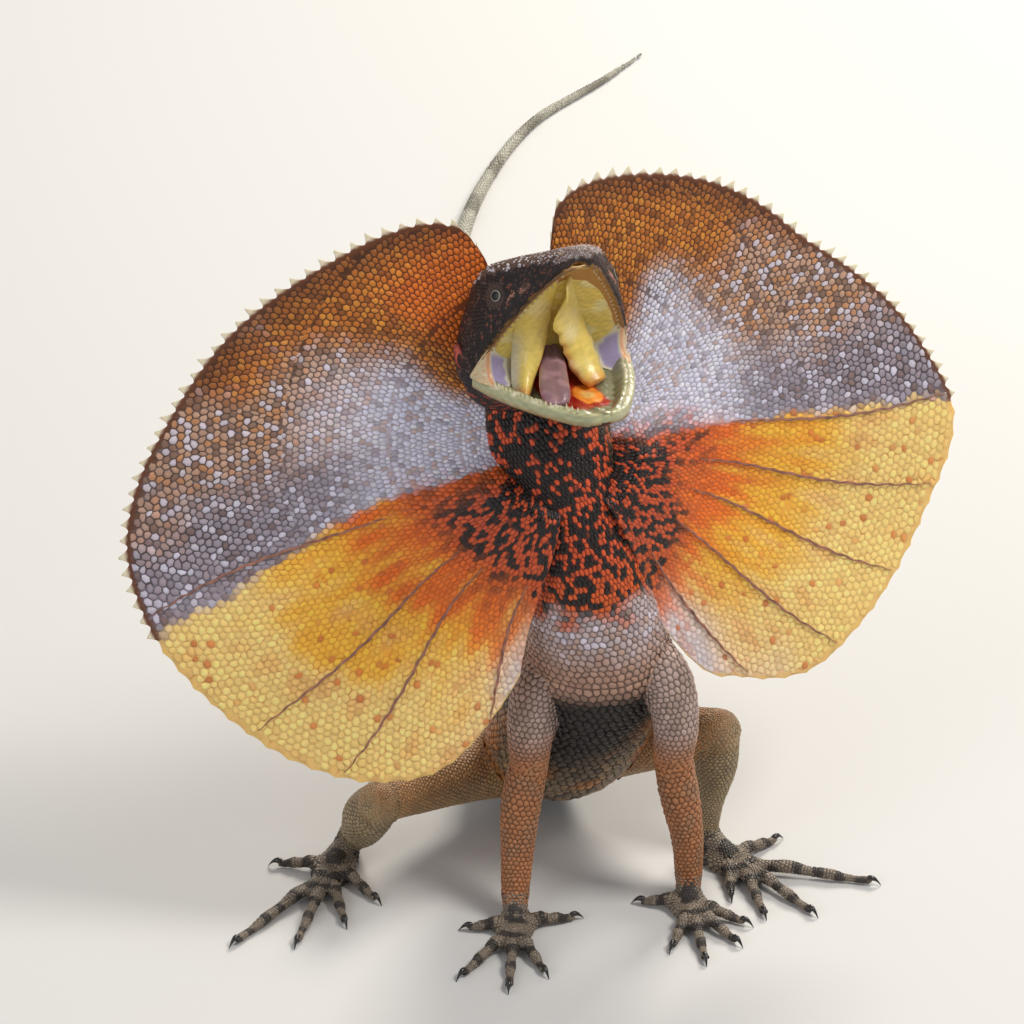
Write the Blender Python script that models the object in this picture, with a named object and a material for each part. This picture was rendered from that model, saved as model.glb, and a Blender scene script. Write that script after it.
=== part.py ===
"""A frilled lizard, life size, rearing on its forelegs with its frill spread and its mouth open.

Metres, +Z up. The animal faces -Y and its left side is +X. It stands on the plane z = 0.
All sizes below are in millimetres; MM turns them into metres. The animal is laid out around
a point on the floor under its chest, and HOME is where that point lies in the model's frame,
whose origin is the middle of the animal's footprint.
"""
import bpy
import bmesh
import math
import random
import numpy as np
from mathutils import Vector
from mathutils.bvhtree import BVHTree

MM = 0.001
GAP = 0.3                      # clearance between two nodes that touch
HOME = (-1.0, -262.9)          # x, y of the layout's zero in the model's frame
SEED = 7

# Body and tail: x, y, z of the centre, half width, height above it, depth below it
SPINE = {
    "tail tip": (42.5, 583.0, 1.3, 0.9, 1.0, 1.4),
    "tail end": (28.0, 561.0, 1.7, 1.5, 1.6, 1.8),
    "tail bend": (0.0, 524.0, 2.2, 2.0, 2.1, 2.4),
    "tail thin": (-17.4, 478.7, 2.6, 2.6, 2.7, 2.8),
    "tail rear": (-27.4, 430.0, 3.3, 3.3, 3.4, 3.5),
    "tail half": (-28.0, 350.0, 4.3, 4.4, 4.5, 4.6),
    "tail mid": (-24.0, 270.0, 5.3, 5.6, 5.8, 5.6),
    "tail front": (-18.0, 195.0, 6.9, 7.3, 7.5, 7.2),
    "tail base": (-11.0, 130.0, 9.6, 10.0, 10.5, 10.0),
    "vent": (-5.0, 83.0, 14.0, 13.5, 13.5, 13.5),
    "pelvis": (0.0, 55.0, 20.0, 19.0, 16.0, 16.0),
    "loin": (6.0, 35.0, 34.0, 24.0, 21.0, 19.0),
    "belly": (13.0, 20.0, 60.0, 25.5, 23.0, 19.5),
    "chest": (17.0, 10.0, 86.0, 23.5, 21.0, 20.0),
    "neck base": (14.0, 7.0, 112.0, 19.5, 18.0, 19.0),
    "neck": (9.0, 9.0, 138.0, 18.0, 17.0, 19.0),
    "nape": (2.0, 15.0, 162.0, 19.0, 17.0, 23.0),
    "skull base": (-4.0, 21.0, 180.0, 18.0, 16.0, 18.0),
}
TAIL_SIDES = 12
TRUNK_SIDES = 22
SPINE_NODES = (                # node, from, to, ring spacing, sides
    ("tail_tip", "tail tip", "tail thin", 11.0, TAIL_SIDES),
    ("tail_rear", "tail thin", "tail half", 13.0, TAIL_SIDES),
    ("tail_middle", "tail half", "tail front", 13.0, TAIL_SIDES),
    ("tail_front", "tail front", "tail base", 11.0, TAIL_SIDES),
    ("tail_base", "tail base", "vent", 8.0, TRUNK_SIDES),
    ("pelvis", "vent", "loin", 6.0, TRUNK_SIDES),
    ("belly", "loin", "chest", 6.0, TRUNK_SIDES),
    ("chest", "chest", "neck base", 5.0, TRUNK_SIDES),
    ("neck", "neck base", "skull base", 5.0, TRUNK_SIDES),
)

# Head: the hinge line of the mouth is its zero; f runs along the roof to the snout, u is up
HINGE = (1.9, 0.0, 192.5)
ACROSS = (0.909, 0.415, -0.047)
ROOF_LIFT = 36.0               # degrees of the roof above level
GAPE = 31.0                    # degrees of each jaw off the roof's direction
HEAD_SECTIONS = (              # f, roof height, roof half width, cheek half width, lip half width
    (-24.0, 20.0, 9.0, 16.0, 15.0),
    (-19.0, 25.0, 12.5, 21.5, 20.0),
    (-10.0, 28.5, 15.5, 26.0, 25.0),
    (0.0, 30.5, 17.5, 26.5, 26.0),
    (8.0, 31.5, 18.5, 25.0, 24.0),
    (16.0, 31.5, 18.0, 21.5, 20.5),
    (24.0, 30.8, 14.5, 17.0, 16.0),
    (31.0, 30.3, 10.5, 12.2, 11.5),
    (36.5, 29.8, 7.5, 8.2, 7.8),
    (39.0, 29.0, 5.2, 5.6, 5.2),
)
PALATE = 5.0                   # depth of the palate's vault
LIP_HEIGHT = 2.6
LIP_SWELL = 0.6
BROW_DROP = 2.0
JAW_SECTIONS = (               # along the jaw, tilt share, half width, vault depth, depth below
    (-22.0, 0.0, 17.0, 0.0, 10.0),
    (-11.0, 0.0, 24.0, 0.0, 11.5),
    (0.0, 0.4, 25.5, 0.2, 10.4),
    (8.0, 1.0, 23.8, 3.0, 8.8),
    (16.5, 1.0, 20.8, 4.2, 7.9),
    (25.0, 1.0, 16.8, 4.4, 7.2),
    (32.0, 1.0, 12.6, 3.8, 6.4),
    (37.5, 1.0, 8.6, 2.6, 5.4),
    (40.4, 1.0, 4.8, 1.2, 4.2),
)
LIP_DROOP = 0.005              # how fast the lip bends down towards the snout's tip
DROOP_FROM = 26.0
EYE_AT = (16.7, 16.4, 20.8)    # across, f, u
EYE_RADIUS = 4.3
LID_RADIUS = 4.0
LID_THICK = 1.15
EAR_AT = (25.6, -5.0, 7.5)
EAR_RADIUS = 5.4
DRUM_RADIUS = 2.8
DRUM_THICK = 0.6
DRUM_DEPTH = 0.6               # how far the eardrum lies inside the cheek
CUP_OUT = 3.0                  # how far outside the cheek the ear cup is centred
LID_OUT = 2.6                  # how far outside the eye's centre its lids stand
NOSTRIL_AT = (6.6, 36.6, 27.0)
NOSTRIL_RADIUS = 1.1
TONGUE = (                     # along the jaw, across it, height over the rim, half width, half thickness
    (3.0, 0.0, 1.6, 3.6, 1.6),
    (11.0, -3.0, 2.4, 4.4, 2.1),
    (19.0, -6.0, 1.8, 4.4, 2.1),
    (25.5, -8.0, 1.0, 3.4, 1.6),
    (29.0, -8.8, 0.6, 1.4, 0.9),
)
TOOTH_STEP = 3.2               # millimetres between teeth
TOOTH_SUNK = 1.2
UPPER_TOOTH = 0.8
UPPER_FANG = 1.5
LOWER_TOOTH = 1.4
LOWER_FANG = 2.6
TOOTH_WIDE = 0.8

# Frill: a dish around the throat, its two lobes parted behind the head
FRILL_HUB = (6.3, 6.0, 162.1)
FRILL_YAW = 17.0               # degrees that the dish turns to the animal's left
FRILL_TIP_BACK = 16.0          # degrees that it leans back
FRILL_ROLL = 8.0               # degrees that its mid line leans to the animal's right
FRILL_SWEEP = 12.0             # degrees that each lobe is swept back
FRILL_THICK = 0.9
RAY_RISE = 0.55
ROOT_CLEAR = 0.15              # further clearance of the frill from the body, between its lines
RIPPLE = 0.011                 # depth of the folds, as a share of the radius
OUTLINE_LEFT = (               # degrees from the mid line, radius
    (9.0, 60.0), (10.5, 69.0), (14.0, 75.0), (19.0, 78.5), (27.0, 82.0), (47.0, 90.5),
    (60.0, 95.5), (70.0, 99.5), (80.0, 109.0), (88.0, 118.5), (96.5, 128.0), (104.5, 136.5), (119.0, 133.5),
    (137.0, 126.0), (149.0, 118.0), (156.0, 104.0), (162.0, 88.0), (164.0, 74.0),
)
OUTLINE_RIGHT = (
    (9.5, 62.0), (11.0, 70.0), (14.5, 76.0), (19.0, 79.5), (26.0, 83.0), (38.0, 89.5),
    (51.0, 98.5), (62.0, 107.5), (73.0, 117.5), (82.0, 126.5), (92.0, 134.0), (101.0, 136.0),
    (115.0, 133.0),
    (132.0, 127.0), (141.0, 120.0), (150.0, 106.0), (155.0, 88.0), (158.0, 76.0),
)
TOOTH_PITCH = 5.6
TOOTH_HEIGHT = 2.8
NOTCH_PITCH = 7.5
NOTCH_HEIGHT = 0.8
TOOTHED_TO = 104.0             # degrees where the teeth give way to small notches
FRILL_ROWS = (0.0, 0.3, 0.6, 0.85, 1.0)
FRILL_NODES = (("crown", 0.0, 46.0), ("side", 46.0, 92.0), ("low", 92.0, 130.0), ("throat", 130.0, 180.0))
RAYS_LEFT = (103.5, 116.0, 128.0, 141.0, 155.0)
RAYS_RIGHT = (100.0, 123.0, 134.5, 153.0)

# Legs: x, y, z of the middle line and its radius
UPPER_ARM = {
    "right": ((8.0, 8.0, 85.0, 8.5), (0.0, 3.0, 77.0, 8.2),
              (-3.2, -1.0, 62.0, 7.6), (-3.6, -2.0, 50.0, 6.4)),
    "left": ((30.0, 8.0, 87.0, 8.5), (39.0, 3.0, 78.0, 8.2),
             (42.2, -1.0, 63.0, 7.4), (41.4, -1.0, 51.0, 6.4)),
}
FOREARM = {
    "right": ((-3.6, -2.0, 50.0, 6.3), (-6.0, -4.0, 37.0, 6.6),
              (-7.4, -9.0, 19.5, 5.4), (-8.0, -14.5, 7.0, 4.6)),
    "left": ((41.4, -1.0, 51.0, 6.3), (43.4, -2.0, 39.0, 6.5),
             (46.4, -3.0, 21.0, 5.3), (46.9, -4.0, 7.5, 4.6)),
}
THIGH = {
    "right": ((-4.0, 48.0, 20.0, 13.0), (-24.0, 33.0, 23.0, 10.0),
              (-42.0, 15.0, 28.0, 8.4), (-51.0, 4.0, 31.0, 7.0)),
    "left": ((10.0, 46.0, 24.0, 13.0), (30.0, 37.0, 32.0, 10.5),
             (47.0, 28.0, 41.0, 9.0), (56.5, 22.0, 46.0, 7.4)),
}
SHANK = {
    "right": ((-51.0, 4.0, 31.0, 6.8), (-54.5, 11.0, 21.5, 8.2),
              (-57.5, 18.0, 11.0, 6.4), (-60.0, 23.0, 6.0, 4.8)),
    "left": ((56.5, 22.0, 46.0, 7.0), (56.0, 24.0, 32.0, 7.0),
             (53.6, 24.0, 18.0, 5.4), (52.4, 22.6, 6.5, 4.6)),
}
HAND = {                       # palm centre x, y, half length, half width; toe tips x, y
    "right": ((-8.0, -23.0), 8.0, 6.8, ((10.9, -17.0), (1.3, -47.0), (-10.0, -55.0),
              (-24.6, -48.5), (-23.0, -23.0))),
    "left": ((46.8, -11.0), 8.0, 6.8, ((31.5, -8.4), (41.1, -33.3), (51.3, -40.0),
             (61.5, -30.5), (64.5, -20.0))),
}
FOOT = {
    "right": ((-65.5, 10.0), 14.0, 7.0, ((-52.0, -7.0), (-61.6, -19.5), (-76.4, -30.5),
              (-95.8, -30.5), (-84.0, 13.0))),
    "left": ((60.0, 14.0), 13.0, 7.0, ((60.5, -5.0), (70.5, -14.7), (85.7, -14.0),
             (105.5, 2.8), (76.0, 27.0))),
}
LEG_SIDES = 12
TOE_SIDES = 6
PALM_HEIGHT = 5.4
TOE_RADIUS = 2.3
CLAW_LENGTH = 4.2
CLAW_RADIUS = 1.1

SKINS = {                      # colour, roughness
    "throat": ((0.42, 0.12, 0.03), 0.6),
    "chest": ((0.52, 0.46, 0.47), 0.6),
    "belly": ((0.07, 0.05, 0.045), 0.7),
    "flank": ((0.30, 0.19, 0.10), 0.65),
    "tail": ((0.46, 0.43, 0.36), 0.65),
    "foreleg": ((0.42, 0.17, 0.06), 0.6),
    "shoulder": ((0.45, 0.40, 0.42), 0.6),
    "hind leg": ((0.36, 0.23, 0.10), 0.6),
    "foot": ((0.16, 0.14, 0.12), 0.6),
    "head": ((0.10, 0.05, 0.035), 0.5),
    "mouth": ((0.74, 0.60, 0.22), 0.35),
    "tongue": ((0.42, 0.26, 0.32), 0.35),
    "eye": ((0.02, 0.02, 0.02), 0.1),
    "eardrum": ((0.45, 0.17, 0.10), 0.45),
    "frill grey": ((0.50, 0.42, 0.44), 0.6),
    "frill orange": ((0.85, 0.42, 0.05), 0.6),
    "frill crown": ((0.42, 0.16, 0.03), 0.6),
}


def unit(vector):
    """A vector, or each row of an array, at length one."""
    vector = np.asarray(vector, float)
    return vector / np.linalg.norm(vector, axis=-1, keepdims=True)


def chords(points):
    """The distance along the straight lines from the first point to each point."""
    return np.concatenate(([0.0], np.cumsum(np.linalg.norm(np.diff(points, axis=0), axis=1))))


def smooth(along, values, spots):
    """A smooth curve through the values at the places along, read at the spots."""
    values = np.asarray(values, float)
    slope = np.gradient(values, along, axis=0)
    left = np.clip(np.searchsorted(along, spots, side="right") - 1, 0, len(along) - 2)
    span = (along[left + 1] - along[left])[:, None]
    t = (spots - along[left])[:, None] / span
    flat = values.reshape(len(values), -1)
    slope = slope.reshape(len(values), -1)
    curve = (1 + 2 * t) * (1 - t) ** 2 * flat[left] + t * (1 - t) ** 2 * span * slope[left]
    curve = curve + t * t * (3 - 2 * t) * flat[left + 1] + t * t * (t - 1) * span * slope[left + 1]
    return curve.reshape((len(spots),) + values.shape[1:])


def material(name):
    """The skin of a kind of node, made once."""
    if name in bpy.data.materials:
        return bpy.data.materials[name]
    colour, roughness = SKINS[name]
    skin = bpy.data.materials.new(name)
    skin.use_nodes = True
    shader = skin.node_tree.nodes["Principled BSDF"]
    shader.inputs["Base Color"].default_value = (*colour, 1.0)
    shader.inputs["Roughness"].default_value = roughness
    shader.inputs["Metallic"].default_value = 0.0
    return skin


def node(name, points, faces, skin):
    """A closed mesh object from points in millimetres around the layout's zero."""
    mesh = bpy.data.meshes.new(name)
    mesh.from_pydata((np.asarray(points) * MM).tolist(), [], [list(face) for face in faces])
    shape = bmesh.new()
    shape.from_mesh(mesh)
    bmesh.ops.recalc_face_normals(shape, faces=shape.faces)
    bmesh.ops.triangulate(shape, faces=[face for face in shape.faces if len(face.verts) > 3])
    shape.to_mesh(mesh)
    shape.free()
    thing = bpy.data.objects.new(name, mesh)
    bpy.context.scene.collection.objects.link(thing)
    thing.location = (HOME[0] * MM, HOME[1] * MM, 0.0)
    thing.data.materials.append(material(skin))
    return thing


def loft(name, rings, skin):
    """A closed body through rings of the same number of points, its ends fanned shut."""
    rings = np.asarray(rings, float)
    count, sides = rings.shape[:2]
    points = np.concatenate((rings.reshape(-1, 3), [rings[0].mean(axis=0), rings[-1].mean(axis=0)]))
    first, last = count * sides, count * sides + 1
    faces = []
    for row in range(count - 1):
        for side in range(sides):
            a, b = row * sides + side, row * sides + (side + 1) % sides
            faces += [(a, b, b + sides), (a, b + sides, a + sides)]
    for side in range(sides):
        ahead = (side + 1) % sides
        faces.append((first, ahead, side))
        faces.append((last, (count - 1) * sides + side, (count - 1) * sides + ahead))
    return node(name, points, faces, skin)


def rings_along(stations, spots, sides, grow=0.0, hint=(0.0, 1.0, 1.0)):
    """Oval rings square to the smooth line through stations of x, y, z, half width, up, down."""
    stations = np.asarray(stations, float)
    along = chords(stations[:, :3])
    rows = smooth(along, stations, spots)
    step = 0.5
    ahead = smooth(along, stations, np.minimum(spots + step, along[-1]))[:, :3]
    behind = smooth(along, stations, np.maximum(spots - step, 0.0))[:, :3]
    tangent = unit(ahead - behind)
    across = unit(np.cross(np.broadcast_to(hint, tangent.shape), tangent))
    upward = np.cross(tangent, across)
    angle = np.arange(sides) / sides * 2 * math.pi
    height = np.where(np.sin(angle) > 0, rows[:, 4:5], rows[:, 5:6]) + grow
    flat = rows[:, None, :3] + across[:, None] * (np.cos(angle) * (rows[:, 3:4] + grow))[:, :, None]
    return flat + upward[:, None] * (np.sin(angle) * height)[:, :, None]


def on_floor(rings, floor=0.0):
    """Rings with everything below the floor laid flat on it."""
    rings = np.array(rings)
    rings[..., 2] = np.maximum(rings[..., 2], floor)
    return rings


def applied(thing):
    """Turns an object's modifiers into its mesh."""
    seen = thing.evaluated_get(bpy.context.evaluated_depsgraph_get())
    mesh = bpy.data.meshes.new_from_object(seen)
    thing.modifiers.clear()
    thing.data = mesh


def keep_largest(thing):
    """Keeps an object's largest closed surface and fans its faces into triangles."""
    shape = bmesh.new()
    shape.from_mesh(thing.data)
    left = set(shape.verts)
    groups = []
    while left:
        edge = [left.pop()]
        group = set(edge)
        while edge:
            for link in edge.pop().link_edges:
                for vert in link.verts:
                    if vert in left:
                        left.discard(vert)
                        group.add(vert)
                        edge.append(vert)
        groups.append(group)
    largest = max(groups, key=len)
    bmesh.ops.delete(shape, geom=[vert for vert in shape.verts if vert not in largest], context="VERTS")
    bmesh.ops.triangulate(shape, faces=shape.faces)
    shape.to_mesh(thing.data)
    shape.free()


def combine(thing, others, operation, solver="EXACT"):
    """Joins the others to an object, or cuts them from it, and removes them."""
    group = bpy.data.collections.new(thing.name + "_pieces")
    bpy.context.scene.collection.children.link(group)
    for other in others:
        group.objects.link(other)
        bpy.context.scene.collection.objects.unlink(other)
    joiner = thing.modifiers.new("Combine", "BOOLEAN")
    joiner.operation = operation
    joiner.operand_type = "COLLECTION"
    joiner.collection = group
    joiner.solver = solver
    applied(thing)
    for other in list(group.objects):
        bpy.data.objects.remove(other)
    bpy.data.collections.remove(group)
    keep_largest(thing)


def cut(thing, other, solver="EXACT"):
    """Cuts one grown neighbour from an object and removes it."""
    combine(thing, [other], "DIFFERENCE", solver)


def ball(name, centre, radii, skin, segments=16, axes=None):
    """An oval ball with its poles on its third axis."""
    axes = np.eye(3) if axes is None else axes
    turn = np.arange(segments) / segments * 2 * math.pi
    rows = segments // 2
    tilt = np.arange(1, rows) / rows * math.pi
    shape = np.stack((np.outer(np.sin(tilt), np.cos(turn)) * radii[0],
                      np.outer(np.sin(tilt), np.sin(turn)) * radii[1],
                      np.outer(np.cos(tilt), np.ones(segments)) * radii[2]), axis=-1)
    thing_rings = np.asarray(centre) + shape @ np.asarray(axes)
    pole = np.asarray(axes)[2] * radii[2]
    rings = np.concatenate(([np.repeat([centre + pole], segments, 0)], thing_rings,
                            [np.repeat([centre - pole], segments, 0)]))
    return capped(name, rings, skin)


def capped(name, rings, skin):
    """A closed body through rings whose first and last ring are single points."""
    rings = np.asarray(rings, float)
    count, sides = rings.shape[0] - 2, rings.shape[1]
    points = np.concatenate((rings[1:-1].reshape(-1, 3), rings[0, :1], rings[-1, :1]))
    first, last = count * sides, count * sides + 1
    faces = []
    for row in range(count - 1):
        for side in range(sides):
            a, b = row * sides + side, row * sides + (side + 1) % sides
            faces += [(a, b, b + sides), (a, b + sides, a + sides)]
    for side in range(sides):
        ahead = (side + 1) % sides
        faces.append((first, ahead, side))
        faces.append((last, (count - 1) * sides + side, (count - 1) * sides + ahead))
    return node(name, points, faces, skin)


def head_axes():
    """Rows across, forward and up of the head."""
    across = unit(ACROSS)
    level = unit(np.array([across[1], -across[0], 0.0]))
    lift = math.radians(ROOF_LIFT)
    forward = math.cos(lift) * level + math.sin(lift) * np.array([0.0, 0.0, 1.0])
    forward = unit(forward - (forward @ across) * across)
    upward = np.cross(forward, across) * -1.0
    return np.array([across, forward, upward * np.sign(upward[2])])


def head_place(local):
    """Points of the head's own across, forward, up, carried to the layout."""
    return np.asarray(HINGE) + np.asarray(local, float) @ head_axes()


def mirrored(half):
    """A closed outline from its right half, which runs from the lower middle to the upper middle."""
    other = half[-2:0:-1] * np.array([-1.0, 1.0])
    return np.concatenate((half, other))


def lip_line(forward):
    """Height of the upper lip over the hinge, at a distance forward of it; it droops at the snout."""
    slope = max(forward, 0.0) * math.tan(math.radians(GAPE))
    return slope - LIP_DROOP * max(forward - DROOP_FROM, 0.0) ** 2


def head_outline(forward, roof, roof_half, cheek, lip, grow):
    """A cross-section of the head: palate, lip, cheek, brow and roof."""
    bottom = lip_line(forward)
    tall = roof - bottom
    vault = PALATE * min(max(forward, 0.0) / 12.0, 1.0) * min(1.0, tall / 16.0)
    half = np.array([
        (0.0, bottom + vault),
        (0.45 * lip, bottom + 0.85 * vault),
        (lip - 2.4, bottom + 0.25 * vault),
        (lip - 0.9, bottom),
        (lip + LIP_SWELL, bottom + 0.5),
        (lip + LIP_SWELL, bottom + LIP_HEIGHT),
        (cheek - 0.2, bottom + LIP_HEIGHT + 0.16 * tall),
        (0.5 * (cheek + roof_half) + 0.6, bottom + 0.62 * tall),
        (roof_half + 0.5, roof - BROW_DROP),
        (roof_half - 1.6, roof - 0.2),
        (roof_half * 0.5, roof + 0.4),
        (0.0, roof + 0.5),
    ])
    middle = np.array([0.0, 0.5 * (roof + bottom)])
    outward = half - middle
    return mirrored(half + grow * outward / np.linalg.norm(outward, axis=1, keepdims=True))


def head_body(name, grow=0.0):
    """The skull and upper jaw, grown outward where it is to cut a neighbour."""
    table = np.array(HEAD_SECTIONS)
    spots = np.unique(np.concatenate((table[:, 0], 0.5 * (table[1:, 0] + table[:-1, 0]))))
    rows = smooth(table[:, 0], table, spots)
    rings = []
    for forward, roof, roof_half, cheek, lip in rows:
        section = head_outline(forward, roof, roof_half, cheek, lip, grow)
        shift = forward + grow * (forward - rows[0, 0] > 30.0) - grow * (forward < rows[0, 0] + 1.0)
        places = np.column_stack((section[:, 0], np.full(len(section), shift), section[:, 1]))
        rings.append(head_place(places))
    return loft(name, rings, "head")


def jaw_frame(reach, share):
    """Origin, direction and up of a jaw section, in the head's forward and up."""
    tilt = -math.radians(GAPE) * share
    direction = np.array([math.cos(tilt), math.sin(tilt)])
    upward = np.array([-math.sin(tilt), math.cos(tilt)])
    if reach > 0:
        origin = reach * np.array([math.cos(math.radians(GAPE)), -math.sin(math.radians(GAPE))])
    else:
        origin = np.array([reach, 0.0])
    return origin - 0.6 * GAP * upward, direction, upward


def jaw_body(name, grow=0.0):
    """The lower jaw, hollowed between its rims, and the back of the jaw behind the hinge."""
    table = np.array(JAW_SECTIONS)
    spots = np.unique(np.concatenate((table[:, 0], 0.5 * (table[1:, 0] + table[:-1, 0]))))
    rows = smooth(table[:, 0], table, spots)
    rings = []
    for reach, share, wide, vault, depth in rows:
        origin, _, upward = jaw_frame(reach, min(max(share, 0.0), 1.0))
        half = np.array([
            (0.0, -depth * 1.04 - grow),
            (0.45 * wide, -depth - grow),
            (0.80 * wide + grow, -0.80 * depth - grow),
            (0.98 * wide + grow, -0.40 * depth),
            (wide + grow, -1.0),
            (wide - 0.7, 0.0 + grow),
            (wide - 2.0, -0.1 + grow),
            (max(wide - 4.0, 0.5 * wide), -0.7 * vault + grow),
            (0.5 * wide * 0.6, -vault + grow),
            (0.0, -vault + grow),
        ])
        section = mirrored(half)
        local = np.column_stack((section[:, 0], origin[0] + upward[0] * section[:, 1],
                                 origin[1] + upward[1] * section[:, 1]))
        rings.append(head_place(local))
    return loft(name, rings, "mouth")


def ring_body(name, centre, axis, radius, thick, skin, segments=14, sides=6):
    """A torus around an axis."""
    axis = unit(axis)
    first = unit(np.cross(axis, (0.0, 0.0, 1.0)))
    second = np.cross(axis, first)
    turn = np.arange(segments) / segments * 2 * math.pi
    roll = np.arange(sides) / sides * 2 * math.pi
    outward = np.cos(turn)[:, None] * first + np.sin(turn)[:, None] * second
    points = (np.asarray(centre) + outward[:, None] * (radius + thick * np.cos(roll))[None, :, None]
              + axis * (thick * np.sin(roll))[None, :, None])
    faces = []
    for a in range(segments):
        for b in range(sides):
            p, q = a * sides + b, a * sides + (b + 1) % sides
            r, s = (a + 1) % segments * sides + (b + 1) % sides, (a + 1) % segments * sides + b
            faces += [(p, q, r), (p, r, s)]
    return node(name, points.reshape(-1, 3), faces, skin)


def cone(name, foot, tip, radius, skin, sides=5):
    """A pointed spike whose foot is sunk where it is placed."""
    axis = unit(np.asarray(tip) - np.asarray(foot))
    first = unit(np.cross(axis, (0.31, 0.87, 0.38)))
    second = np.cross(axis, first)
    turn = np.arange(sides) / sides * 2 * math.pi
    ring = np.asarray(foot) + radius * (np.cos(turn)[:, None] * first + np.sin(turn)[:, None] * second)
    points = np.concatenate((ring, [foot], [tip]))
    faces = []
    for side in range(sides):
        ahead = (side + 1) % sides
        faces += [(side, ahead, sides + 1), (ahead, side, sides)]
    return node(name, points, faces, skin)


def upper_teeth():
    """Small pointed teeth along both edges of the upper jaw, the front pair longer."""
    table = np.array(HEAD_SECTIONS)
    spots = np.arange(7.0, 37.0, TOOTH_STEP)
    lips = smooth(table[:, 0], table, spots)[:, 4]
    teeth = []
    for forward, lip in zip(spots, lips):
        length = UPPER_FANG if forward > spots[-2] else UPPER_TOOTH
        for sign in (-1.0, 1.0):
            foot = head_place((sign * (lip - 1.7), forward, lip_line(forward) + TOOTH_SUNK))
            tip = head_place((sign * (lip - 1.9), forward + 0.3 * length, lip_line(forward) - length))
            teeth.append(cone("tooth", foot, tip, TOOTH_WIDE, "mouth"))
    return teeth


def lower_teeth():
    """Small pointed teeth along both rims of the lower jaw, one long pair at the front."""
    table = np.array(JAW_SECTIONS)
    spots = np.arange(8.0, 39.5, TOOTH_STEP)
    wide = smooth(table[:, 0], table, spots)[:, 2]
    teeth = []
    for reach, half in zip(spots, wide):
        origin, _, upward = jaw_frame(reach, 1.0)
        length = LOWER_FANG if reach > spots[-2] else LOWER_TOOTH
        low = origin - TOOTH_SUNK * upward
        high = origin + length * upward
        for sign in (-1.0, 1.0):
            foot = head_place((sign * (half - 1.4), low[0], low[1]))
            tip = head_place((sign * (half - 1.7), high[0], high[1]))
            teeth.append(cone("tooth", foot, tip, TOOTH_WIDE, "mouth"))
    return teeth


def make_head():
    """The head with its lids, teeth, eye sockets, ear cups and nostrils, and the jaw below it."""
    across = head_axes()[0]
    head = head_body("head")
    lids = []
    for sign in (1.0, -1.0):
        centre = head_place((sign * (EYE_AT[0] + LID_OUT), EYE_AT[1], EYE_AT[2]))
        lids.append(ring_body("lid", centre, across * sign, LID_RADIUS, LID_THICK, "head"))
    combine(head, lids + upper_teeth(), "UNION", "MANIFOLD")
    cutters = []
    for sign in (1.0, -1.0):
        eye = head_place((sign * EYE_AT[0], EYE_AT[1], EYE_AT[2]))
        cutters.append(ball("socket", eye, [EYE_RADIUS + 1.3 * GAP] * 3, "head", 14))
        ear = head_place((sign * (EAR_AT[0] + CUP_OUT), EAR_AT[1], EAR_AT[2]))
        cutters.append(ball("cup", ear, [EAR_RADIUS] * 3, "head", 12))
        nostril = head_place((sign * NOSTRIL_AT[0], NOSTRIL_AT[1], NOSTRIL_AT[2]))
        cutters.append(ball("pit", nostril, [NOSTRIL_RADIUS] * 3, "head", 8))
    combine(head, cutters, "DIFFERENCE", "MANIFOLD")
    drums = []
    for side, sign in (("left", 1.0), ("right", -1.0)):
        eye = head_place((sign * EYE_AT[0], EYE_AT[1], EYE_AT[2]))
        ball("eye_" + side, eye, [EYE_RADIUS] * 3, "eye", 14)
        drum = head_place((sign * (EAR_AT[0] - DRUM_DEPTH), EAR_AT[1], EAR_AT[2]))
        radii = (DRUM_RADIUS, DRUM_RADIUS, DRUM_THICK)
        drums.append(ball("ear_" + side, drum, radii, "eardrum", 10, head_axes()[[1, 2, 0]]))
    jaw = jaw_body("lower_jaw")
    combine(jaw, lower_teeth(), "UNION", "MANIFOLD")
    cut(jaw, head_body("grown head", GAP), "MANIFOLD")
    return head, jaw, drums


def make_tongue():
    """The tongue, lying in the jaw with its tip free."""
    rows = np.array(TONGUE)
    spots = np.linspace(rows[0, 0], rows[-1, 0], 9)
    rings = []
    turn = np.arange(12) / 12 * 2 * math.pi
    for reach, across, height, wide, thick in smooth(rows[:, 0], rows, spots):
        origin, _, upward = jaw_frame(reach, 1.0)
        lift = height + thick * np.sin(turn)
        local = np.column_stack((across + wide * np.cos(turn),
                                 origin[0] + upward[0] * lift,
                                 origin[1] + upward[1] * lift))
        rings.append(head_place(local))
    return loft("tongue", rings, "tongue")


def spine_rings(start, end, spacing, sides, grow=0.0, gap=GAP):
    """Rings of the body between two of its stations."""
    names = list(SPINE)
    stations = np.array(list(SPINE.values()))
    along = chords(stations[:, :3])
    first = along[names.index(start)] + (0.5 * gap if start != names[0] else 0.0)
    last = along[names.index(end)] - (0.5 * gap if end != names[-1] else 0.0)
    spots = np.linspace(first, last, max(2, round((last - first) / spacing) + 1))
    return on_floor(rings_along(stations, spots, sides, grow), -grow if grow else 0.0)


def make_spine():
    """The tail, trunk and neck, parted where one would name the parts."""
    skins = {"tail_tip": "tail", "tail_rear": "tail", "tail_middle": "tail", "tail_front": "tail",
             "tail_base": "tail", "pelvis": "flank", "belly": "belly", "chest": "chest", "neck": "throat"}
    made = {}
    for name, start, end, spacing, sides in SPINE_NODES:
        made[name] = loft(name, spine_rings(start, end, spacing, sides), skins[name])
    return made


def grown_trunk(start="tail base", end="neck", spacing=6.0):
    """The trunk between two stations, grown by the gap, to cut what grows from it."""
    return loft("grown trunk", spine_rings(start, end, spacing, TRUNK_SIDES, GAP), "belly")


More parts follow.
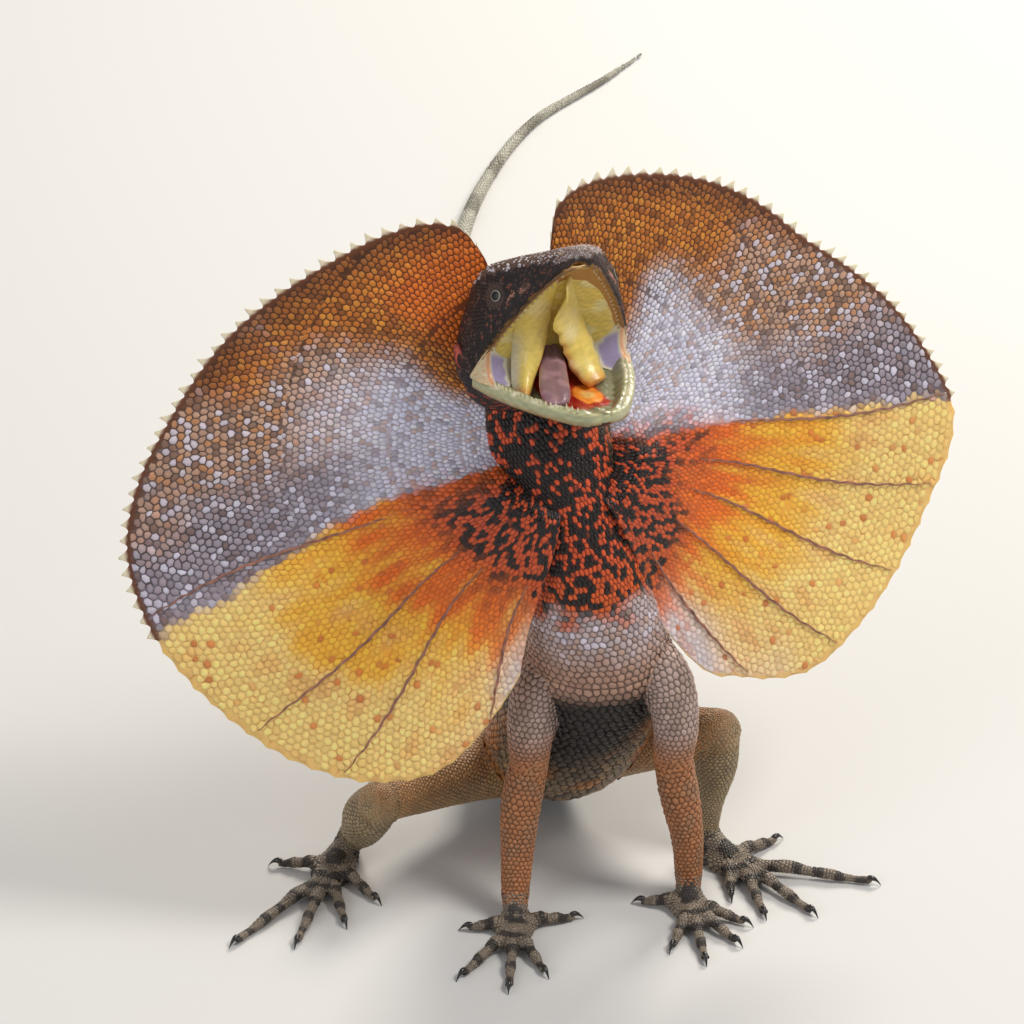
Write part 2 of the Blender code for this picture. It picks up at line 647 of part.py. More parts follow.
def limb(name, stations, sides, skin, grow=0.0):
    """A leg's length with round ends, through stations of x, y, z and radius."""
    stations = np.array(stations)
    rows = np.column_stack((stations[:, :3], stations[:, 3], stations[:, 3], stations[:, 3]))
    along = chords(rows[:, :3])
    spots = np.linspace(0.0, along[-1], max(4, round(along[-1] / 7.0)))
    rings = rings_along(rows, spots, sides, grow, hint=(0.3, 1.0, 0.2))
    start, end = rings[0].mean(axis=0), rings[-1].mean(axis=0)
    back = unit(start - rings[1].mean(axis=0)) * (stations[0, 3] + grow)
    front = unit(end - rings[-2].mean(axis=0)) * (stations[-1, 3] + grow)
    tilts = np.radians((60.0, 30.0))
    head_rings = [start + (rings[0] - start) * math.cos(t) + back * math.sin(t) for t in tilts]
    tail_rings = [end + (rings[-1] - end) * math.cos(t) + front * math.sin(t) for t in tilts[::-1]]
    rings = np.concatenate((head_rings, rings, tail_rings))
    return loft(name, on_floor(rings, 0.0 if not grow else -grow), skin)


def claw(tip, direction):
    """A curved claw that leaves a toe's tip and bends down to the floor."""
    spots = np.linspace(0.0, 1.0, 3)
    direction = unit(direction)
    rings = []
    turn = np.arange(5) / 5 * 2 * math.pi
    side = unit(np.cross(direction, (0.0, 0.0, 1.0)))
    for t in spots:
        centre = np.array([tip[0], tip[1], 2.1]) + direction * CLAW_LENGTH * (t - 0.3)
        centre[2] += 0.8 * math.sin(math.pi * t) - 1.6 * t * t
        radius = CLAW_RADIUS * (1.0 - 0.85 * t)
        ring = np.cos(turn)[:, None] * side + np.sin(turn)[:, None] * np.array([0.0, 0.0, 1.0])
        rings.append(centre + radius * ring)
    return loft("claw", on_floor(rings, 0.05), "foot")


def toe(root, tip):
    """A toe that lies on the floor, arched at its knuckle, with swollen joints."""
    root, tip = np.asarray(root, float), np.asarray(tip, float)
    count = 6
    share = np.linspace(0.0, 1.0, count)
    line = root[None] + (tip - root)[None] * share[:, None]
    radius = TOE_RADIUS * (1.15 - 0.45 * share) * (1.0 + 0.10 * np.cos(share * 3 * 2 * math.pi))
    height = radius * 0.9 + 1.8 * np.sin(math.pi * np.clip(share * 1.2, 0, 1)) * (1 - share)
    stations = np.column_stack((line[:, 0], line[:, 1], height, radius, radius, radius))
    along = chords(stations[:, :3])
    spots = np.linspace(0.0, along[-1], count)
    rings = rings_along(stations, spots, TOE_SIDES, 0.0, hint=(0.0, 0.0, 1.0))
    return loft("toe", on_floor(rings), "foot")


def make_foot(name, centre, long, wide, tips, ankle, skin="foot"):
    """A palm that lies flat, its five toes and their claws, and the ankle that rises from it."""
    centre = np.array([centre[0], centre[1], 0.0])
    mean_tip = np.append(np.mean(tips, axis=0), 0.0)
    forward = unit(mean_tip - centre)
    side = np.array([-forward[1], forward[0], 0.0])
    turn = np.arange(12) / 12 * 2 * math.pi
    outline = centre + np.cos(turn)[:, None] * side * wide + np.sin(turn)[:, None] * forward * long
    levels = ((0.0, 0.88), (0.35, 1.0), (0.75, 0.85), (1.0, 0.45))
    rings = []
    for level, share in levels:
        ring = centre + (outline - centre) * share
        ring[:, 2] = level * PALM_HEIGHT
        rings.append(ring)
    palm = loft(name, rings, skin)
    pieces = []
    for number, tip in enumerate(tips):
        tip = np.append(tip, 0.0)
        spread = tip - centre
        reach = unit(spread) * np.array([wide, wide, 0.0]) * 0.35
        root = centre + forward * long * 0.35 + reach if 0 < number < 4 else centre + reach
        pieces.append(toe(root, tip))
        pieces.append(claw(tip, tip - root))
    pieces.append(limb("ankle", ankle, 8, skin))
    combine(palm, pieces, "UNION")
    return palm


def make_legs():
    """All four legs, each in three nodes that meet at the elbow or knee and at the wrist or ankle."""
    made = []
    for side in ("left", "right"):
        arm = limb("upper_arm_" + side, UPPER_ARM[side], LEG_SIDES, "shoulder")
        cut(arm, grown_trunk())
        fore = limb("forearm_" + side, FOREARM[side], LEG_SIDES, "foreleg")
        cut(fore, limb("grown arm", UPPER_ARM[side], LEG_SIDES, "foreleg", GAP))
        cut(fore, grown_trunk())
        wrist = FOREARM[side][-1]
        palm, long, wide, tips = HAND[side]
        ankle = ((wrist[0], wrist[1], wrist[2], wrist[3] * 0.95), (palm[0], palm[1] + 2.0, 3.6, 3.6))
        hand = make_foot("hand_" + side, palm, long, wide, tips, ankle)
        cut(hand, limb("grown forearm", FOREARM[side], LEG_SIDES, "foot", GAP))
        thigh = limb("thigh_" + side, THIGH[side], LEG_SIDES, "hind leg")
        cut(thigh, grown_trunk())
        shank = limb("shank_" + side, SHANK[side], LEG_SIDES, "hind leg")
        cut(shank, limb("grown thigh", THIGH[side], LEG_SIDES, "hind leg", GAP))
        joint = SHANK[side][-1]
        sole, long, wide, tips = FOOT[side]
        ankle = ((joint[0], joint[1], joint[2], joint[3] * 0.95), (sole[0], sole[1], 3.8, 3.8))
        foot = make_foot("foot_" + side, sole, long, wide, tips, ankle)
        cut(foot, limb("grown shank", SHANK[side], LEG_SIDES, "foot", GAP))
        made += [arm, fore, hand, thigh, shank, foot]
    return made


def frill_axes():
    """Rows right, up and out of the frill's dish, right being the animal's left."""
    yaw, lean, roll = (math.radians(value) for value in (FRILL_YAW, FRILL_TIP_BACK, FRILL_ROLL))
    out = np.array([math.sin(yaw) * math.cos(lean), -math.cos(yaw) * math.cos(lean), math.sin(lean)])
    right = np.array([math.cos(yaw), math.sin(yaw), 0.0])
    up = np.cross(right, out)
    up = up * np.sign(up[2])
    rolled_right = math.cos(roll) * right + math.sin(roll) * up
    rolled_up = math.cos(roll) * up - math.sin(roll) * right
    return np.array([rolled_right, rolled_up, out])


def frill_line(angle, sign):
    """The direction of a line of the frill from its hub, per millimetre of radius."""
    right, up, out = frill_axes()
    turn = np.radians(angle)
    fold = RIPPLE * np.sin(turn * 11.0)
    roll = math.radians(FRILL_ROLL)
    sweep = math.tan(math.radians(FRILL_SWEEP)) * np.abs(np.sin(turn - sign * roll))
    flat = sign * np.sin(turn)[..., None] * right + np.cos(turn)[..., None] * up
    return flat + (fold - sweep)[..., None] * out


def tree_of(things):
    """A search tree over the surfaces of some nodes, in the layout's millimetres."""
    points, faces, base = [], [], 0
    for thing in things:
        for vertex in thing.data.vertices:
            points.append(Vector(vertex.co) / MM)
        for face in thing.data.polygons:
            faces.append([base + index for index in face.vertices])
        base = len(points)
    return BVHTree.FromPolygons(points, faces)


def root_radius(tree, direction, radius):
    """Where a line of the frill meets the body, coming in from its rim, and a gap outside it."""
    hub = np.array(FRILL_HUB)
    out = frill_axes()[2]
    furthest = 12.0
    for shift in (-0.5 * FRILL_THICK - 0.2, 0.5 * FRILL_THICK + 0.2):
        start = hub + direction * radius + out * shift
        way = unit(-direction)
        hit, normal, _, distance = tree.ray_cast(Vector(start), Vector(way), radius * 1.2)
        if hit is None:
            continue
        slant = max(abs(float(np.dot(np.array(normal), way))), 0.2)
        found = radius - (distance - GAP / slant) / np.linalg.norm(direction)
        furthest = max(furthest, found)
    return furthest


def frill_columns(outline):
    """Angles of the frill's lines and their extra height at the rim: teeth, then small notches."""
    outline = np.array(outline)
    fine = np.linspace(outline[0, 0], outline[-1, 0], 400)
    radius = smooth(outline[:, 0], outline, fine)[:, 1]
    run = chords(np.column_stack((radius * np.sin(np.radians(fine)), radius * np.cos(np.radians(fine)))))
    turn_over = np.interp(TOOTHED_TO, fine, run)
    teeth = round(turn_over / TOOTH_PITCH)
    notches = round((run[-1] - turn_over) / NOTCH_PITCH)
    upper = np.linspace(0.0, turn_over, 2 * teeth + 1)
    lower = np.linspace(turn_over, run[-1], 2 * notches + 1)[1:]
    tooth_heights = np.arange(2 * teeth + 1) % 2 * TOOTH_HEIGHT
    notch_heights = (np.arange(2 * notches) + 1) % 2 * NOTCH_HEIGHT
    height = np.concatenate((tooth_heights, notch_heights))
    angles = np.interp(np.concatenate((upper, lower)), run, fine)
    draw = random.Random(SEED)
    height = height * np.array([draw.uniform(0.8, 1.15) for _ in height])
    return angles, smooth(outline[:, 0], outline, angles)[:, 1], height


def sheet(name, front, back, skin):
    """A closed sheet between two grids of the same lines, split alike on both faces."""
    rows, columns = front.shape[:2]
    count = rows * columns
    points = np.concatenate((front.reshape(-1, 3), back.reshape(-1, 3)))
    faces = []
    for row in range(rows - 1):
        for column in range(columns - 1):
            a = row * columns + column
            b, c, d = a + 1, a + columns + 1, a + columns
            faces += [(a, b, c), (a, c, d)]
            faces += [(count + c, count + b, count + a), (count + d, count + c, count + a)]
    rim = [(0, column) for column in range(columns)]
    rim += [(row, columns - 1) for row in range(1, rows)]
    rim += [(rows - 1, column) for column in range(columns - 2, -1, -1)]
    rim += [(row, 0) for row in range(rows - 2, 0, -1)]
    for (r1, c1), (r2, c2) in zip(rim, rim[1:] + rim[:1]):
        p, q = r1 * columns + c1, r2 * columns + c2
        faces += [(q, p, count + p), (q, count + p, count + q)]
    return node(name, points, faces, skin)


def make_frill(body):
    """Both lobes, each in four sectors, with rays raised in the skin and a toothed rim."""
    tree = tree_of(body)
    hub = np.array(FRILL_HUB)
    out = frill_axes()[2]
    rows = np.array(FRILL_ROWS)
    skins = {"crown": "frill crown", "side": "frill grey", "low": "frill orange", "throat": "frill orange"}
    lobes = (("left", 1.0, OUTLINE_LEFT, RAYS_LEFT), ("right", -1.0, OUTLINE_RIGHT, RAYS_RIGHT))
    for side, sign, outline, rays in lobes:
        angles, radii, heights = frill_columns(outline)
        raised = np.zeros(len(angles))
        for ray in rays:
            raised[np.argmin(np.abs(angles - ray))] = RAY_RISE
        lines = frill_line(angles, sign)
        roots = np.array([root_radius(tree, line, radius) for line, radius in zip(lines, radii)])
        beside = np.maximum(np.append(roots[1:], 0.0), np.append(0.0, roots[:-1]))
        roots = np.minimum(np.maximum(roots, np.minimum(beside, roots + 2.0)) + ROOT_CLEAR, radii - 6.0)
        radius = roots + (radii - roots) * rows[:, None]
        radius = np.concatenate((radius, [radii + np.maximum(heights, 0.25)]))
        middle = hub + radius[:, :, None] * lines[None]
        thick = 0.5 * FRILL_THICK * np.concatenate((np.full(len(rows) - 1, 1.0), (0.85, 0.6)))
        ridge = raised * np.concatenate((np.linspace(1.0, 0.6, len(rows)), (0.0,)))[:, None]
        offset = (thick[:, None] + ridge)[:, :, None] * out
        for name, low, high in FRILL_NODES:
            chosen = np.nonzero((angles >= low) & (angles <= high))[0]
            first = max(chosen[0] - 1, 0) if low > 0.0 else 0
            last = chosen[-1]
            part = slice(first, last + 1)
            front, back = (middle + offset)[:, part].copy(), (middle - offset)[:, part].copy()
            for grid in (front, back):
                if first > 0:
                    grid[:, 0] += 0.5 * GAP * unit(grid[:, 1] - grid[:, 0])
                if last < len(angles) - 1:
                    grid[:, -1] += 0.5 * GAP * unit(grid[:, -2] - grid[:, -1])
            sector = sheet("frill_" + side + "_" + name, front, back, skins[name])
            if name in ("crown", "side"):
                cut(sector, head_body("grown head", GAP + ROOT_CLEAR))
            else:
                cut(sector, grown_trunk("belly", "nape", 4.0))


def clear_scene():
    """Empties the scene."""
    for thing in list(bpy.data.objects):
        bpy.data.objects.remove(thing)


def main():
    clear_scene()
    head, jaw, drums = make_head()
    make_tongue()
    spine = make_spine()
    cut(spine["neck"], head_body("grown head", GAP), "MANIFOLD")
    cut(spine["neck"], jaw_body("grown jaw", GAP), "MANIFOLD")
    legs = make_legs()
    arms = [leg for leg in legs if leg.name.startswith("upper_arm")]
    make_frill([head, jaw, spine["neck"], spine["chest"], spine["belly"]] + arms + drums)


main()
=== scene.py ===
import math

import bmesh
import bpy
import numpy as np
from mathutils import Matrix, Vector
from mathutils.bvhtree import BVHTree
from mathutils.kdtree import KDTree


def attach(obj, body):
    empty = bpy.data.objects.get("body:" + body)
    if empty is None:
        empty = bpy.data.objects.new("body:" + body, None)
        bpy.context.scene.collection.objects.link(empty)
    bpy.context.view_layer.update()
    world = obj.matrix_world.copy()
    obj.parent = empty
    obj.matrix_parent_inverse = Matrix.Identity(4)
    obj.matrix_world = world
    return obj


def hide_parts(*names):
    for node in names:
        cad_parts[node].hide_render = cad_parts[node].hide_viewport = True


bl_info = {
    "name": "Frilled lizard",
    "version": (1, 0, 0),
    "blender": (4, 5, 0),
    "location": "View3D > Sidebar > Lizard",
    "description": "A life-size frilled lizard with its frill spread, dressed over its solids",
    "category": "Add Mesh",
}

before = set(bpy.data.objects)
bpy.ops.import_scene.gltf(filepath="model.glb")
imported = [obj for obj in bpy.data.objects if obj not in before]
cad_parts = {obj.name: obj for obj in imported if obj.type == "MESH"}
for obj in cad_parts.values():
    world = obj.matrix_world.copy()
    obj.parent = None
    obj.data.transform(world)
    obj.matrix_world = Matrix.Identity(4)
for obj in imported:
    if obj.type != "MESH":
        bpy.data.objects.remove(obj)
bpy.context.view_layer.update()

MM = 0.001
HOME = np.array([-1.0, -262.9, 0.0])   # the layout's zero in the model's frame, in millimetres

COAT_DEPTH = 0.35              # how far the skin lies inside the solids
FOOT_COAT_DEPTH = 0.25

# Body and tail: x, y, z of the centre, half width, height above it, depth below it
SPINE = {
    "tail tip": (42.5, 583.0, 1.3, 0.9, 1.0, 1.4),
    "tail end": (28.0, 561.0, 1.7, 1.5, 1.6, 1.8),
    "tail bend": (0.0, 524.0, 2.2, 2.0, 2.1, 2.4),
    "tail thin": (-17.4, 478.7, 2.6, 2.6, 2.7, 2.8),
    "tail rear": (-27.4, 430.0, 3.3, 3.3, 3.4, 3.5),
    "tail half": (-28.0, 350.0, 4.3, 4.4, 4.5, 4.6),
    "tail mid": (-24.0, 270.0, 5.3, 5.6, 5.8, 5.6),
    "tail front": (-18.0, 195.0, 6.9, 7.3, 7.5, 7.2),
    "tail base": (-11.0, 130.0, 9.6, 10.0, 10.5, 10.0),
    "vent": (-5.0, 83.0, 14.0, 13.5, 13.5, 13.5),
    "pelvis": (0.0, 55.0, 20.0, 19.0, 16.0, 16.0),
    "loin": (6.0, 35.0, 34.0, 24.0, 21.0, 19.0),
    "belly": (13.0, 20.0, 60.0, 25.5, 23.0, 19.5),
    "chest": (17.0, 10.0, 86.0, 23.5, 21.0, 20.0),
    "neck base": (14.0, 7.0, 112.0, 19.5, 18.0, 19.0),
    "neck": (9.0, 9.0, 138.0, 18.0, 17.0, 19.0),
    "nape": (2.0, 15.0, 162.0, 19.0, 17.0, 23.0),
    "skull base": (-4.0, 21.0, 180.0, 18.0, 16.0, 18.0),
}

# Head: the hinge line of the mouth is its zero; f runs along the roof to the snout, u is up
HINGE = (1.9, 0.0, 192.5)
ACROSS = (0.909, 0.415, -0.047)
ROOF_LIFT = 36.0
GAPE = 31.0
HEAD_SECTIONS = (              # f, roof height, roof half width, cheek half width, lip half width
    (-24.0, 20.0, 9.0, 16.0, 15.0),
    (-19.0, 25.0, 12.5, 21.5, 20.0),
    (-10.0, 28.5, 15.5, 26.0, 25.0),
    (0.0, 30.5, 17.5, 26.5, 26.0),
    (8.0, 31.5, 18.5, 25.0, 24.0),
    (16.0, 31.5, 18.0, 21.5, 20.5),
    (24.0, 30.8, 14.5, 17.0, 16.0),
    (31.0, 30.3, 10.5, 12.2, 11.5),
    (36.5, 29.8, 7.5, 8.2, 7.8),
    (39.0, 29.0, 5.2, 5.6, 5.2),
)
PALATE = 5.0                   # depth of the palate's vault
PALATE_RISE = 12.0             # how far forward it takes to reach it
LIP_HEIGHT = 2.6
LIP_SWELL = 0.6
BROW_DROP = 2.0
JAW_SECTIONS = (               # along the jaw, tilt share, half width, vault depth, depth below
    (-22.0, 0.0, 17.0, 0.0, 10.0),
    (-11.0, 0.0, 24.0, 0.0, 11.5),
    (0.0, 0.4, 25.5, 0.2, 10.4),
    (8.0, 1.0, 23.8, 3.0, 8.8),
    (16.5, 1.0, 20.8, 4.2, 7.9),
    (25.0, 1.0, 16.8, 4.4, 7.2),
    (32.0, 1.0, 12.6, 3.8, 6.4),
    (37.5, 1.0, 8.6, 2.6, 5.4),
    (40.4, 1.0, 4.8, 1.2, 4.2),
)
LIP_DROOP = 0.005
DROOP_FROM = 26.0
EYE_AT = (16.7, 16.4, 20.8)
EYE_RADIUS = 4.3
EYE_GAZE = (0.83, 0.55, 0.08)    # across, f, u
LID_RADIUS = 3.1
EAR_AT = (25.6, -5.0, 7.5)
EAR_RADIUS = 3.7
NOSTRIL_AT = (6.6, 36.6, 27.0)

# Frill: a dish around the throat, its two lobes parted behind the head
FRILL_HUB = (6.3, 6.0, 162.1)
FRILL_YAW = 17.0
FRILL_TIP_BACK = 16.0
FRILL_ROLL = 8.0
FRILL_SWEEP = 12.0
FRILL_HALF = 0.32               # half its thickness, in millimetres
FRILL_REACH = 140.0             # a little past its widest radius
RIPPLE = 0.011
OUTLINES = {                   # degrees from the mid line, radius
    "left": (
        (9.0, 60.0), (10.5, 69.0), (14.0, 75.0), (19.0, 78.5), (27.0, 82.0), (47.0, 90.5), (60.0, 95.5),
        (70.0, 99.5), (80.0, 109.0), (88.0, 118.5), (96.5, 128.0), (104.5, 136.5), (119.0, 133.5),
        (137.0, 126.0), (149.0, 118.0), (156.0, 104.0), (162.0, 88.0), (164.0, 74.0),
    ),
    "right": (
        (9.5, 62.0), (11.0, 70.0), (14.5, 76.0), (19.0, 79.5), (26.0, 83.0), (38.0, 89.5), (51.0, 98.5),
        (62.0, 107.5), (73.0, 117.5), (82.0, 126.5), (92.0, 134.0), (101.0, 136.0), (115.0, 133.0),
        (132.0, 127.0), (141.0, 120.0), (150.0, 106.0), (155.0, 88.0), (158.0, 76.0),
    ),
}
TOOTH_PITCH = 5.2
TOOTH_HEIGHT = 3.3
NOTCH_PITCH = 7.5
NOTCH_HEIGHT = 0.8
TOOTHED_TO = 104.0
RAYS = {"left": (103.5, 116.0, 128.0, 141.0, 155.0), "right": (100.0, 123.0, 134.5, 153.0)}
SIGN = {"left": 1.0, "right": -1.0}

# Legs: x, y, z of the middle line and its radius
UPPER_ARM = {
    "right": ((8.0, 8.0, 85.0, 8.5), (0.0, 3.0, 77.0, 8.2), (-3.2, -1.0, 62.0, 7.6), (-3.6, -2.0, 50.0, 6.4)),
    "left": ((30.0, 8.0, 87.0, 8.5), (39.0, 3.0, 78.0, 8.2), (42.2, -1.0, 63.0, 7.4),
             (41.4, -1.0, 51.0, 6.4)),
}
FOREARM = {
    "right": ((-3.6, -2.0, 50.0, 6.3), (-6.0, -4.0, 37.0, 6.6), (-7.4, -9.0, 19.5, 5.4),
              (-8.0, -14.5, 7.0, 4.6)),
    "left": ((41.4, -1.0, 51.0, 6.3), (43.4, -2.0, 39.0, 6.5), (46.4, -3.0, 21.0, 5.3),
             (46.9, -4.0, 7.5, 4.6)),
}
THIGH = {
    "right": ((-4.0, 48.0, 20.0, 13.0), (-24.0, 33.0, 23.0, 10.0), (-42.0, 15.0, 28.0, 8.4),
              (-51.0, 4.0, 31.0, 7.0)),
    "left": ((10.0, 46.0, 24.0, 13.0), (30.0, 37.0, 32.0, 10.5), (47.0, 28.0, 41.0, 9.0),
             (56.5, 22.0, 46.0, 7.4)),
}
SHANK = {
    "right": ((-51.0, 4.0, 31.0, 6.8), (-54.5, 11.0, 21.5, 8.2), (-57.5, 18.0, 11.0, 6.4),
              (-60.0, 23.0, 6.0, 4.8)),
    "left": ((56.5, 22.0, 46.0, 7.0), (56.0, 24.0, 32.0, 7.0), (53.6, 24.0, 18.0, 5.4),
             (52.4, 22.6, 6.5, 4.6)),
}
HAND = {                       # palm centre x, y, half length, half width; toe tips x, y
    "right": ((-8.0, -23.0), 8.0, 6.8, ((10.9, -17.0), (1.3, -47.0), (-10.0, -55.0), (-24.6, -48.5),
                                        (-23.0, -23.0))),
    "left": ((46.8, -11.0), 8.0, 6.8, ((31.5, -8.4), (41.1, -33.3), (51.3, -40.0), (61.5, -30.5),
                                       (64.5, -20.0))),
}
FOOT = {
    "right": ((-65.5, 10.0), 14.0, 7.0, ((-52.0, -7.0), (-61.6, -19.5), (-76.4, -30.5), (-95.8, -30.5),
                                         (-84.0, 13.0))),
    "left": ((60.0, 14.0), 13.0, 7.0, ((60.5, -5.0), (70.5, -14.7), (85.7, -14.0), (105.5, 2.8),
                                       (76.0, 27.0))),
}
PALM_HEIGHT = 5.4
TOE_RADIUS = 2.3

# Camera
CAMERA_RISE = 31.0             # degrees above the animal
CAMERA_AWAY = 2.0              # metres
CAMERA_AIM = (-9.0, 20.0, 128.0)
CAMERA_LENS = 226.77           # millimetres, on a 36 mm sensor

made = {}                      # what one operator leaves for the next


def unit(vector):
    """A vector, or each row of an array, at length one."""
    vector = np.asarray(vector, float)
    return vector / np.maximum(np.linalg.norm(vector, axis=-1, keepdims=True), 1e-12)


def circle(count):
    """Even angles once round, the first of them nought."""
    return np.arange(count) / count * 2 * math.pi


def chords(points):
    """The distance along the straight lines from the first point to each point."""
    return np.concatenate(([0.0], np.cumsum(np.linalg.norm(np.diff(points, axis=0), axis=1))))


def smooth(along, values, spots):
    """A smooth curve through the values at the places along, read at the spots."""
    values = np.asarray(values, float)
    slope = np.gradient(values, along, axis=0)
    left = np.clip(np.searchsorted(along, spots, side="right") - 1, 0, len(along) - 2)
    span = (along[left + 1] - along[left])[:, None]
    t = (spots - along[left])[:, None] / span
    curve = (1 + 2 * t) * (1 - t) ** 2 * values[left] + t * (1 - t) ** 2 * span * slope[left]
    return curve + t * t * (3 - 2 * t) * values[left + 1] + t * t * (t - 1) * span * slope[left + 1]


def step(low, high, value):
    """A soft step: nought below low, one above high, 3t squared less 2t cubed between."""
    t = np.clip((value - low) / (high - low), 0.0, 1.0)
    return t * t * (3.0 - 2.0 * t)


def wander(points, size, seed):
    """Smooth noise of about -1 to 1: nine sine waves of about that length, in seeded directions."""
    draw = np.random.default_rng(seed)
    way = unit(draw.normal(size=(9, points.shape[1]))) * (2 * math.pi / size) * draw.uniform(0.7, 1.5, (9, 1))
    return np.sin(points @ way.T + draw.uniform(0.0, 6.28, 9)).sum(axis=1) / 3.0


def tone(red, green, blue):
    """A colour given as 0 to 255 on a screen, in linear light."""
    value = np.array([red, green, blue]) / 255.0
    return np.where(value <= 0.04045, value / 12.92, ((value + 0.055) / 1.055) ** 2.4)


def blend(first, second, share):
    """Rows of colour between two, by share."""
    share = np.asarray(share)[:, None]
    return first * (1.0 - share) + second * share


def head_axes():
    """Rows across, forward and up of the head."""
    across = unit(ACROSS)
    level = unit(np.array([across[1], -across[0], 0.0]))
    lift = math.radians(ROOF_LIFT)
    forward = math.cos(lift) * level + math.sin(lift) * np.array([0.0, 0.0, 1.0])
    forward = unit(forward - (forward @ across) * across)
    upward = -np.cross(forward, across)
    return np.array([across, forward, upward * np.sign(upward[2])])


def head_place(local):
    """Points of the head's own across, forward, up, carried to the layout."""
    return np.asarray(HINGE) + np.asarray(local, float) @ head_axes()


def head_local(points):
    """Points of the layout in the head's own across, forward, up."""
    return (np.asarray(points) - np.asarray(HINGE)) @ head_axes().T


def rings_along(stations, spots, sides, grow=0.0, hint=(0.0, 1.0, 1.0)):
    """Oval rings square to the smooth line through stations of x, y, z, half width, up, down."""
    stations = np.asarray(stations, float)
    along = chords(stations[:, :3])
    rows = smooth(along, stations, spots)
    ahead = smooth(along, stations, np.minimum(spots + 0.5, along[-1]))[:, :3]
    behind = smooth(along, stations, np.maximum(spots - 0.5, 0.0))[:, :3]
    tangent = unit(ahead - behind)
    across = unit(np.cross(np.broadcast_to(hint, tangent.shape), tangent))
    upward = np.cross(tangent, across)
    angle = circle(sides)
    height = np.where(np.sin(angle) > 0, rows[:, 4:5], rows[:, 5:6]) + grow
    flat = rows[:, None, :3] + across[:, None] * (np.cos(angle) * (rows[:, 3:4] + grow))[:, :, None]
    return flat + upward[:, None] * (np.sin(angle) * height)[:, :, None]


def floored(points, floor):
    """Points with everything below a level laid flat on it."""
    points = np.array(points)
    points[..., 2] = np.maximum(points[..., 2], floor)
    return points


def read(grid, rows, columns, closed):
    """Points of a grid at any row and column between its own, by straight blending."""
    count, sides = grid.shape[:2]
    rows = np.clip(rows, 0.0, count - 1.001)
    low = np.floor(rows).astype(int)
    down = (rows - low)[..., None]
    if closed:
        columns = np.mod(columns, sides)
    else:
        columns = np.clip(columns, 0.0, sides - 1.001)
    left = np.floor(columns).astype(int)
    over = (columns - left)[..., None]
    right = (left + 1) % sides
    left = left % sides
    near = grid[low, left] * (1 - over) + grid[low, right] * over
    far = grid[low + 1, left] * (1 - over) + grid[low + 1, right] * over
    return near * (1 - down) + far * down


def evened(grid, sides):
    """The rows of an open grid cut into equal lengths."""
    rows = []
    for row in grid:
        run = chords(row)
        spots = np.linspace(0.0, run[-1], sides)
        rows.append(np.column_stack([np.interp(spots, run, row[:, axis]) for axis in range(3)]))
    return np.array(rows)


def mesh_piece(name, points, faces, tint=None, bake=None, rounded=True):
    """A mesh object from layout points in millimetres and arrays of faces with 3 or 4 corners."""
    points = (np.asarray(points, float).reshape(-1, 3) + HOME) * MM
    groups = [np.asarray(group) for group in faces if len(group)]
    corners = np.concatenate([group.ravel() for group in groups]).astype(np.int32)
    sizes = np.concatenate([np.full(len(group), group.shape[1]) for group in groups])
    mesh = bpy.data.meshes.new(name)
    mesh.vertices.add(len(points))
    mesh.vertices.foreach_set("co", points.ravel())
    mesh.loops.add(len(corners))
    mesh.loops.foreach_set("vertex_index", corners)
    mesh.polygons.add(len(sizes))
    mesh.polygons.foreach_set("loop_start", np.concatenate(([0], np.cumsum(sizes)[:-1])).astype(np.int32))
    mesh.polygons.foreach_set("use_smooth", np.full(len(sizes), rounded))
    mesh.update(calc_edges=True)
    if tint is not None:
        set_tint(mesh, tint)
    if bake is not None:
        layer = mesh.uv_layers.new(name="OFBake")
        layer.data.foreach_set("uv", np.asarray(bake, float)[corners].ravel())
    thing = bpy.data.objects.new(name, mesh)
    bpy.context.scene.collection.objects.link(thing)
    return thing


def set_tint(mesh, tint):
    """Writes a colour on each point of a mesh as its attribute tint."""
    layer = mesh.color_attributes.new("tint", "FLOAT_COLOR", "POINT")
    full = np.concatenate((np.clip(tint, 0.0, 1.0), np.ones((len(tint), 1))), axis=1)
    layer.data.foreach_set("color", full.astype(np.float32).ravel())


def grid_faces(rows, sides, closed, flip=False):
    """The four-cornered faces of a grid of points."""
    row, side = np.meshgrid(np.arange(rows - 1), np.arange(sides if closed else sides - 1), indexing="ij")
    ahead = (side + 1) % sides
    a, b = row * sides + side, row * sides + ahead
    faces = np.stack((a, b, b + sides, a + sides), axis=-1).reshape(-1, 4)
    return faces[:, ::-1] if flip else faces


def tube(rings):
    """Points and faces of a closed body: a grid closed round, each end fanned to its middle."""
    count, sides = rings.shape[:2]
    points = np.concatenate((rings.reshape(-1, 3), [rings[0].mean(axis=0), rings[-1].mean(axis=0)]))
    side = np.arange(sides)
    ahead = (side + 1) % sides
    last = (count - 1) * sides
    caps = np.concatenate((np.stack((np.full(sides, count * sides), ahead, side), axis=1),
                           np.stack((np.full(sides, count * sides + 1), last + side, last + ahead), axis=1)))
    quads = grid_faces(count, sides, True)
    split = np.concatenate((quads[:, [0, 1, 2]], quads[:, [0, 2, 3]], caps))
    return points, split


def joined(bodies):
    """Several bodies' points and three-cornered faces as one."""
    points, faces, base = [], [], 0
    for body_points, body_faces in bodies:
        points.append(body_points)
        faces.append(body_faces + base)
        base += len(body_points)
    return np.concatenate(points), np.concatenate(faces)


def turned_out(thing):
    """Recalculates a mesh's normals so that its faces point outwards."""
    shape = bmesh.new()
    shape.from_mesh(thing.data)
    bmesh.ops.recalc_face_normals(shape, faces=shape.faces)
    shape.to_mesh(thing.data)
    shape.free()
    return thing


